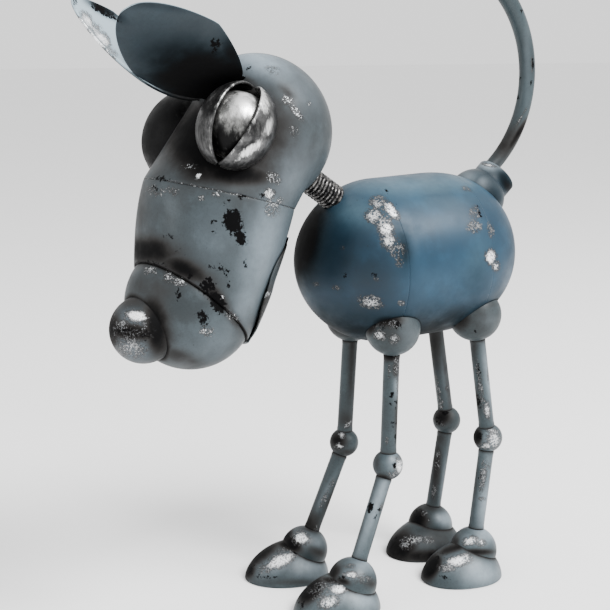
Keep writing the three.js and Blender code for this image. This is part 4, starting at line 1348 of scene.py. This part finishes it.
ANKLE_MARKS = {
    "front_right": marks(
        wear_and_highlight=[(301, 538, 9, 7, 10, 0.9)],
        soot_and_shade=[
            (292, 544, 12, 7, 40, 1.1), (286, 535, 7, 12, 20, 0.9), (318, 552, 14, 6, 20, 0.5),
            (312, 530, 18, 4, 10, 0.5),
        ],
        flake=[(290, 540, 8, 8, 0, 0.3)],
        pale_and_highlight=[(302, 538, 12, 9, 0, 0.4), (318, 542, 8, 8, 0, 0.3)],
    ),
    "front_left": marks(
        wear_and_highlight=[(351, 575, 8, 4, 0, 0.8), (362, 579, 12, 6, 0, 0.42), (350, 566, 7, 3, 0, 0.36)],
        soot_and_shade=[(333, 572, 9, 14, 30, 0.8), (343, 581, 9, 4, 20, 0.8), (372, 584, 8, 6, 0, 0.5)],
        flake=[(343, 578, 5, 3, 0, 0.4), (336, 566, 5, 8, 0, 0.3)],
        pale_and_highlight=[(366, 564, 14, 9, 0, 0.55), (352, 574, 10, 6, 0, 0.4)],
    ),
    "rear_right": marks(
        wear_and_highlight=[(424, 513, 4, 3, 0, 0.40), (428, 520, 2, 2, 0, 0.5)],
        soot_and_shade=[(418, 520, 12, 16, 10, 0.95), (430, 508, 16, 7, 0, 0.6), (438, 532, 20, 4, 0, 0.6)],
        flake=[(418, 514, 7, 8, 0, 0.34)],
        pale_and_highlight=[(445, 519, 8, 7, 0, 0.75)],
    ),
    "rear_left": marks(
        wear_and_highlight=[(470, 541, 8, 5, -15, 0.85), (481, 543, 6, 4, 0, 0.5)],
        soot_and_shade=[(478, 552, 22, 4, 0, 0.75), (455, 541, 6, 10, 0, 0.6)],
        pale_and_highlight=[(488, 531, 14, 11, 0, 0.85), (470, 540, 9, 6, 0, 0.5)],
    ),
}
FOOT_MARKS = {
    "front_right": marks(
        wear_and_highlight=[(280, 561, 17, 7, -25, 0.92), (266, 568, 9, 6, 0, 0.46), (285, 552, 10, 5, -10, 0.42)],
        soot_and_shade=[
            (262, 552, 26, 9, -38, 1.0), (290, 546, 16, 5, 15, 1.0), (249, 570, 7, 12, 20, 0.9),
            (300, 582, 50, 4, 0, 0.4),
        ],
        flake=[
            (297, 552, 3, 2.5, 0, 0.9), (256, 575, 9, 3, 20, 0.5), (270, 577, 8, 2, 0, 0.46),
            (252, 566, 5, 7, 20, 0.42),
        ],
        pale_and_highlight=[(280, 562, 20, 9, -25, 0.5), (310, 566, 20, 12, 0, 0.5)],
    ),
    "front_left": marks(
        wear_and_highlight=[(338, 589, 9, 6, -5, 0.9), (329, 602, 12, 7, -20, 0.8), (322, 590, 16, 10, -30, 0.36)],
        soot_and_shade=[(310, 590, 11, 20, 40, 1.1), (330, 580, 14, 4, 10, 0.8)],
        flake=[(314, 590, 9, 10, 40, 0.36), (302, 605, 5, 8, 0, 0.42)],
        pale_and_highlight=[(334, 594, 16, 12, -20, 0.5), (364, 598, 14, 14, 0, 0.8)],
    ),
    "rear_right": marks(
        wear_and_highlight=[(413, 540, 12, 5, -5, 0.62), (406, 545, 7, 5, 0, 0.55), (427, 540, 8, 4, 0, 0.40)],
        soot_and_shade=[(398, 548, 22, 22, 0, 0.95), (434, 556, 46, 8, 0, 0.9), (430, 540, 40, 22, 0, 0.35)],
        flake=[(404, 550, 6, 2.5, 0, 0.46), (392, 542, 6, 10, 30, 0.36)],
        pale_and_highlight=[(413, 541, 12, 6, -5, 0.4)],
    ),
    "rear_left": marks(
        wear_and_highlight=[(457, 561, 13, 6, -12, 0.9), (447, 568, 10, 5, 0, 0.55), (465, 558, 8, 6, 0, 0.65)],
        soot_and_shade=[(431, 566, 10, 18, 30, 1.1), (452, 549, 22, 5, -20, 0.85)],
        flake=[(446, 577, 8, 3, 10, 0.5), (429, 572, 5, 8, 20, 0.42), (440, 556, 8, 5, 0, 0.34)],
        pale_and_highlight=[(456, 563, 16, 9, -15, 0.5), (482, 574, 20, 12, 0, 0.75)],
    ),
}
NO_MARKS = marks()

LID_HANDS = {"front": -1, "rear": 1}

# Lights, at (right, towards the camera, up) of the body, in metres.
KEY_PLACE = (1.3, 0.9, 1.8)
KEY_SIZE = 1.1
FILL_PLACE = (-1.5, 0.8, 0.5)
FILL_SIZE = 0.7
FLOOR_HALF = 20

# Planes through which the marks of a piece are repeated on its hidden side.
BODY_PLANE = (np.zeros(3), np.array((1.0, 0, 0)))
HEAD_PLANE = (SPRING_TOP, np.array((math.cos(HEAD_TURN), math.sin(HEAD_TURN), 0)))
TOWARDS_CAMERA = unit(BACK * (1, 1, 0))


def behind(centre):
    """The upright plane through a centre that faces the camera."""
    return np.asarray(centre, float), TOWARDS_CAMERA


# Painted shade, pale paint and wear that follow the shape, as functions of points and normals.


def painted_belly_shade(points, normals):
    """Painted shade that deepens towards the belly, where less light falls."""
    return 0.70 * smooth(-0.05, -0.90, normals[:, 2])


def near_ball(centre, radius, reach, strength):
    """Painted shade round a ball that the piece is welded to, where the two meet: strength times
    exp(-gap/reach).
    """

    def shade(points, normals):
        gap = np.linalg.norm(points - np.asarray(centre), axis=-1) - radius
        return strength * np.exp(-np.maximum(gap, 0) / reach)

    return shade


def near_section(section, reach, strength):
    """Marks along one of the head's sections: strength times exp(-(distance/reach)^2) from its
    plane."""
    forward, up, tilt, _ = section

    def shade(points, normals):
        local = points - SPRING_TOP
        ahead = local[:, 0] * math.sin(HEAD_TURN) - local[:, 1] * math.cos(HEAD_TURN)
        away = (ahead - forward) * math.cos(tilt) - (local[:, 2] - up) * math.sin(tilt)
        return strength * np.exp(-((away / reach) ** 2))

    return shade


def lid_rim(centre, side):
    """Wear along the free edges of an eye's lids, fading as exp(-(angle/reach)^2)."""
    _, outward, across = head_turn(np.array(eye_axes(side)))

    def shade(points, normals):
        away = points - centre
        turn = np.abs(np.arctan2(away @ across, away @ outward))
        return LID_WEAR * np.exp(-(((turn - LID_OPENING) / LID_WEAR_REACH) ** 2))

    return shade


def hollow_side(inward):
    """Pale paint on the face that looks inward."""

    def shade(points, normals):
        return 1.2 * smooth(-0.05, 0.25, normals @ inward)

    return shade


def strongest(*shades):
    """The largest of several shades at each point."""

    def shade(points, normals):
        return np.max([one(points, normals) for one in shades], axis=0)

    return shade


def leg_points(name):
    """Hip, knee and ankle centres of one leg."""
    side, leg, hip, _, _ = LEGS[name]
    return [np.array(place) * (side, 1, 1) for place in (hip, leg["knee"], leg["ankle"])]


# Operators: each builds one group of pieces.


class DOG_OT_body(bpy.types.Operator):
    """Builds the three shells of the body"""

    bl_idname = "dog.body"
    bl_label = "Body"

    def execute(self, context):
        settings = context.scene.dog_body
        radius = in_mm(settings.radius)
        groove = in_mm(settings.groove)
        paint = worn_paint(
            "body_paint", settings.light, settings.dark, settings.pale_and_highlight, settings.deep_and_shade,
            soot_and_shade_colour=BLUE_SOOT_AND_SHADE, grain=0.10,
        )
        front = -(BODY_STRAIGHT / 2 + FRONT_DEPTH)
        rear = BODY_STRAIGHT / 2 + REAR_DEPTH
        shells = {
            "body_front_dome": (front, FRONT_SEAM, True, False),
            "body_middle_band": (FRONT_SEAM, REAR_SEAM, False, False),
            "body_rear_dome": (REAR_SEAM, rear, False, True),
        }
        hip_radius = in_mm(context.scene.dog_leg.hip)
        # Painted shade where the hips and the tail's socket meet the body, and towards the belly.
        hip_shades = [near_ball(leg_points(leg)[0], hip_radius, reach=3, strength=0.8) for leg in LEGS]
        shade = strongest(painted_belly_shade, near_ball(*SOCKET, reach=2.5, strength=0.5), *hip_shades)
        for name, (first, last, first_tip, last_tip) in shells.items():
            rings = body_shell(first, last, first_tip, last_tip, radius, groove)
            tips = on_body(np.array((first, last)), np.zeros(2), np.zeros(2))
            piece = add_piece(name, rings, paint, tips[0], tips[1])
            finish_piece(piece, name, BODY_PLANE, BODY_MARKS, {"soot_and_shade": shade})
        return {"FINISHED"}


class DOG_OT_head(bpy.types.Operator):
    """Builds the skull, muzzle, snout, nose and lower jaw"""

    bl_idname = "dog.head"
    bl_label = "Head"

    def execute(self, context):
        settings = context.scene.dog_head
        groove = in_mm(settings.groove)
        thickness = in_mm(settings.jaw_thickness)
        paint = worn_paint(
            "head_paint", settings.light, settings.dark, settings.pale_and_highlight, settings.deep_and_shade, weak=BARE_BRIGHT
        )
        pieces = {
            "skull": (skull_rings(SKULL_WELD_SHARE * groove), section_centre(BROW, -SKULL_DEPTH), None),
            "muzzle": (muzzle_rings(groove), None, None),
            "snout_dome": (snout_rings(groove), None, section_centre(CREASE, SNOUT_DEPTH)),
        }
        nose = head_frame(np.array(NOSE, float))
        # Painted shade along the crease, and round the nose where it meets the snout.
        nose_shade = near_ball(nose, NOSE_RADIUS, reach=4, strength=0.85)
        soot_and_shade = strongest(near_section(CREASE, reach=1.2, strength=0.8), nose_shade)
        shades = {"soot_and_shade": soot_and_shade, "wear_and_highlight": near_section(SEAM, reach=0.7, strength=0.30)}
        for name, (rings, first, last) in pieces.items():
            first = None if first is None else head_frame(first)
            last = None if last is None else head_frame(last)
            piece = add_piece(name, head_frame(rings), paint, first, last)
            finish_piece(piece, name, HEAD_PLANE, HEAD_MARKS, shades)
        nose_paint = worn_paint(
            "nose_paint", scaled(settings.dark, 0.8), scaled(settings.dark, 0.35),
            settings.pale_and_highlight, settings.deep_and_shade, grit=4.8, grain=0.7,
        )
        piece = add_ball("nose_ball", nose, NOSE_RADIUS, nose_paint, FINE_BALL_COUNT)
        finish_piece(piece, "nose_ball", HEAD_PLANE, NOSE_MARKS)
        rings = head_frame(plate_rings(jaw_middle(thickness), *JAW_GRID, thickness))
        piece = add_piece("lower_jaw", rings, paint)
        finish_piece(piece, "lower_jaw", HEAD_PLANE, JAW_MARKS)
        return {"FINISHED"}


class DOG_OT_eyes(bpy.types.Operator):
    """Builds the eyeballs and their lids"""

    bl_idname = "dog.eyes"
    bl_label = "Eyes"

    def execute(self, context):
        settings = context.scene.dog_head
        thickness = in_mm(settings.lid_thickness)
        ball_steel = worn_steel("polished_steel", *BALL_STEEL, gloss=0.26, streaks=(1, 1, 0.3))
        lid_steel = worn_steel("worn_steel", *LID_STEEL, gloss=0.30, streaks=(1, 1, 0.25))
        for side_name, (side, place, radius) in EYES.items():
            centre = head_place(side, place)
            ball_radius = radius * EYE_WIDE - in_mm(settings.ball_clearance)
            name = "eyeball_" + side_name
            middle = head_frame(centre)
            ball = add_ball(name, middle, ball_radius, ball_steel, FINE_BALL_COUNT)
            finish_piece(ball, name, HEAD_PLANE, BALL_MARKS)
            for lid, handed in LID_HANDS.items():
                surface = lid_middle(side, radius, thickness, handed)
                rings = head_frame(centre + plate_rings(surface, *LID_GRID, thickness))
                name = "eyelid_" + lid + "_" + side_name
                piece = add_piece(name, rings, lid_steel)
                finish_piece(piece, name, HEAD_PLANE, LID_MARKS, {"wear_and_highlight": lid_rim(middle, side)})
        return {"FINISHED"}


class DOG_OT_ears(bpy.types.Operator):
    """Builds the two ear plates"""

    bl_idname = "dog.ears"
    bl_label = "Ears"

    def execute(self, context):
        settings = context.scene.dog_head
        thickness = in_mm(settings.ear_thickness)
        ear = settings.ear
        paint = worn_paint(
            "ear_paint", ear, scaled(ear, 0.7), settings.ear_inside, scaled(ear, 0.3),
            soot_and_shade_colour=scaled(ear, 0.5), gloss=0.5, weak=BARE_BRIGHT,
        )
        for side_name, (side, place, splay, rise, lean) in EARS.items():
            root = head_place(side, place)
            axes = ear_axes(side, splay, rise, lean)
            rings = head_frame(root + plate_rings(ear_middle(side, axes), *EAR_GRID, thickness))
            name = "ear_" + side_name
            piece = add_piece(name, rings, paint)
            inside = hollow_side(head_turn(axes[2]))
            finish_piece(piece, name, HEAD_PLANE, EAR_MARKS, {"pale_and_highlight": inside})
        return {"FINISHED"}


class DOG_OT_neck(bpy.types.Operator):
    """Builds the neck spring"""

    bl_idname = "dog.neck"
    bl_label = "Neck spring"

    def execute(self, context):
        settings = context.scene.dog_leg
        path = spring_path(in_mm(settings.pitch), SPRING_RADIUS)
        rings = tube_rings(path, np.full(len(path), in_mm(settings.wire)), WIRE_COLUMNS)
        piece = add_piece("neck_spring", rings, black_wire("spring_steel"))
        finish_piece(piece, "neck_spring", BODY_PLANE, NO_MARKS)
        return {"FINISHED"}


class DOG_OT_legs(bpy.types.Operator):
    """Builds the hips, knees, ankles, rods and feet"""

    bl_idname = "dog.legs"
    bl_label = "Legs"

    def execute(self, context):
        settings = context.scene.dog_leg
        paints = {
            1: worn_paint(
                "leg_paint_left", settings.light, settings.dark,
                settings.pale_and_highlight, settings.deep_and_shade, grit=5.4, grain=0.6,
            ),
            # The far legs get a darker copy of the paint, as painted shade.
            -1: worn_paint(
                "leg_paint_right_shaded", scaled(settings.light, 0.75), scaled(settings.dark, 0.8),
                settings.pale_and_highlight, settings.deep_and_shade, grit=5.4, grain=0.6,
            ),
        }
        sizes = [in_mm(s) for s in (settings.hip, settings.knee, settings.ankle)]
        for leg, (side, _, _, offset, turn) in LEGS.items():
            paint = paints[side]
            joints = leg_points(leg)
            balls = zip(("hip", "knee", "ankle"), joints, sizes, (HIP_MARKS, KNEE_MARKS, ANKLE_MARKS))
            for part, centre, size, table in balls:
                name = f"{part}_{leg}"
                ball = add_ball(name, centre, size, paint, BALL_COUNT)
                finish_piece(ball, name, behind(centre), table[leg])
            for part, first in (("upper", 0), ("lower", 1)):
                ends = joints[first:first + 2]
                stops = sizes[first:first + 2]
                rings = rod_rings(*ends, in_mm(settings.rod), stops, in_mm(settings.fillet))
                name = f"{part}_leg_{leg}"
                piece = add_piece(name, rings, paint)
                # Painted shade at both balls that the rod is welded to.
                joint_shades = [near_ball(*ball, reach=1.6, strength=0.85) for ball in zip(ends, stops)]
                shade = strongest(*joint_shades)
                finish_piece(piece, name, behind(sum(ends) / 2), ROD_MARKS[name], {"soot_and_shade": shade})
            flat = foot_rings()
            x, y = turned(flat[..., 0], flat[..., 1], turn)
            place = np.array((joints[2][0] + offset[0], joints[2][1] + offset[1], 0))
            rings = np.stack([x, y, flat[..., 2]], axis=-1) + place
            name = f"foot_{leg}"
            piece = add_piece(name, rings, paint, last=place + (0, 0, FOOT_HEIGHT))
            # Painted shade on the foot round its ankle dome.
            shade = near_ball(joints[2], sizes[2], reach=2, strength=0.8)
            finish_piece(piece, name, behind(place), FOOT_MARKS[leg], {"soot_and_shade": shade})
        return {"FINISHED"}


class DOG_OT_tail(bpy.types.Operator):
    """Builds the tail with its cup and socket"""

    bl_idname = "dog.tail"
    bl_label = "Tail"

    def execute(self, context):
        leg = context.scene.dog_leg
        body = context.scene.dog_body
        paint = worn_paint(
            "tail_paint", scaled(leg.light, 0.8), leg.dark, leg.pale_and_highlight, leg.deep_and_shade, gloss=0.36
        )
        cup_paint = worn_paint(
            "cup_paint", body.slate, scaled(body.slate, 0.6), leg.pale_and_highlight, body.deep_and_shade,
            soot_and_shade_colour=BLUE_SOOT_AND_SHADE, gloss=0.36,
        )
        tip = on_tail(TAIL_END + TAIL_TIP_RADIUS / TAIL_ARC)
        piece = add_piece("tail", tail_rings(), paint, last=tip)
        finish_piece(piece, "tail", BODY_PLANE, TAIL_MARKS)
        tip = np.array(CUP_CENTRE) + CUP_DOME * CUP_AXIS
        piece = add_piece("tail_cup", cup_rings(), cup_paint, last=tip)
        finish_piece(piece, "tail_cup", BODY_PLANE, CUP_MARKS)
        centre, radius = SOCKET
        centre = np.array(centre)
        piece = add_ball("tail_socket_dome", centre, radius, cup_paint, BALL_COUNT)
        # Painted shade on the socket dome round the cup.
        shade = near_ball(CUP_CENTRE, CUP_RADIUS, reach=2, strength=0.5)
        finish_piece(piece, "tail_socket_dome", BODY_PLANE, SOCKET_MARKS, {"soot_and_shade": shade})
        return {"FINISHED"}


class DOG_OT_stage(bpy.types.Operator):
    """Builds the floor, the camera and the lights"""

    bl_idname = "dog.stage"
    bl_label = "Stage"

    def execute(self, context):
        settings = context.scene.dog_stage
        scene = context.scene
        camera = bpy.data.objects.new("camera", bpy.data.cameras.new("camera"))
        camera.data.sensor_width = SENSOR
        camera.data.lens = LENS
        camera.data.clip_start = 0.05
        camera.data.clip_end = 60
        turn = Matrix([Vector(RIGHT), Vector(UP), Vector(BACK)]).transposed()
        camera.matrix_world = Matrix.Translation(Vector(CAMERA_PLACE * MM + SHIFT)) @ turn.to_4x4()
        scene.collection.objects.link(camera)
        scene.camera = camera
        ground = SHIFT[2]
        mesh = bpy.data.meshes.new("floor")
        signs = ((-1, -1), (1, -1), (1, 1), (-1, 1))
        corners = [(x * FLOOR_HALF, y * FLOOR_HALF, ground) for x, y in signs]
        mesh.from_pydata(corners, [], [(0, 1, 2, 3)])
        mesh.materials.append(pale_floor("floor", settings.floor))
        floor = bpy.data.objects.new("floor", mesh)
        scene.collection.objects.link(floor)
        world = bpy.data.worlds.new("surround")
        world.use_nodes = True
        background = world.node_tree.nodes["Background"]
        background.inputs["Color"].default_value = (1, 1, 1, 1)
        background.inputs["Strength"].default_value = settings.sky
        scene.world = world
        self.add_light("key", KEY_PLACE, KEY_SIZE, settings.key)
        self.add_light("fill", FILL_PLACE, FILL_SIZE, settings.fill)
        return {"FINISHED"}

    def add_light(self, name, place, size, power):
        """A square light that points at the body."""
        data = bpy.data.lights.new(name, "AREA")
        data.shape = "SQUARE"
        data.size = size
        data.energy = power
        light = bpy.data.objects.new(name, data)
        right, nearer, up = place
        target = np.array(BODY_CENTRE) * MM + SHIFT
        away = right * RIGHT + nearer * TOWARDS_CAMERA + up * np.array((0, 0, 1))
        turn = Vector(away).to_track_quat("Z", "Y").to_matrix().to_4x4()
        light.matrix_world = Matrix.Translation(Vector(target + away)) @ turn
        bpy.context.scene.collection.objects.link(light)


class DOG_PT_panel(bpy.types.Panel):
    """Lists the steps of the dog and their settings"""

    bl_idname = "DOG_PT_panel"
    bl_label = "Dog"
    bl_space_type = "VIEW_3D"
    bl_region_type = "UI"
    bl_category = "Dog"

    def draw(self, context):
        for name, settings in SETTINGS.items():
            for key in settings.__annotations__:
                self.layout.prop(getattr(context.scene, name), key)
        for operator in OPERATORS:
            self.layout.operator(operator.bl_idname)


OPERATORS = (
    DOG_OT_stage, DOG_OT_body, DOG_OT_head, DOG_OT_eyes,
    DOG_OT_ears, DOG_OT_neck, DOG_OT_legs, DOG_OT_tail,
)
SETTINGS = {
    "dog_body": DogBodySettings,
    "dog_head": DogHeadSettings,
    "dog_leg": DogLegSettings,
    "dog_stage": DogStageSettings,
}


def register():
    for settings in SETTINGS.values():
        bpy.utils.register_class(settings)
    for operator in OPERATORS:
        bpy.utils.register_class(operator)
    bpy.utils.register_class(DOG_PT_panel)
    for name, settings in SETTINGS.items():
        setattr(bpy.types.Scene, name, bpy.props.PointerProperty(type=settings))


def unregister():
    for name in SETTINGS:
        delattr(bpy.types.Scene, name)
    bpy.utils.unregister_class(DOG_PT_panel)
    for operator in reversed(OPERATORS):
        bpy.utils.unregister_class(operator)
    for settings in reversed(SETTINGS.values()):
        bpy.utils.unregister_class(settings)


def main():
    register()
    bpy.ops.dog.stage()
    bpy.ops.dog.body()
    bpy.ops.dog.head()
    bpy.ops.dog.eyes()
    bpy.ops.dog.ears()
    bpy.ops.dog.neck()
    bpy.ops.dog.legs()
    bpy.ops.dog.tail()


if __name__ == "__main__":
    main()
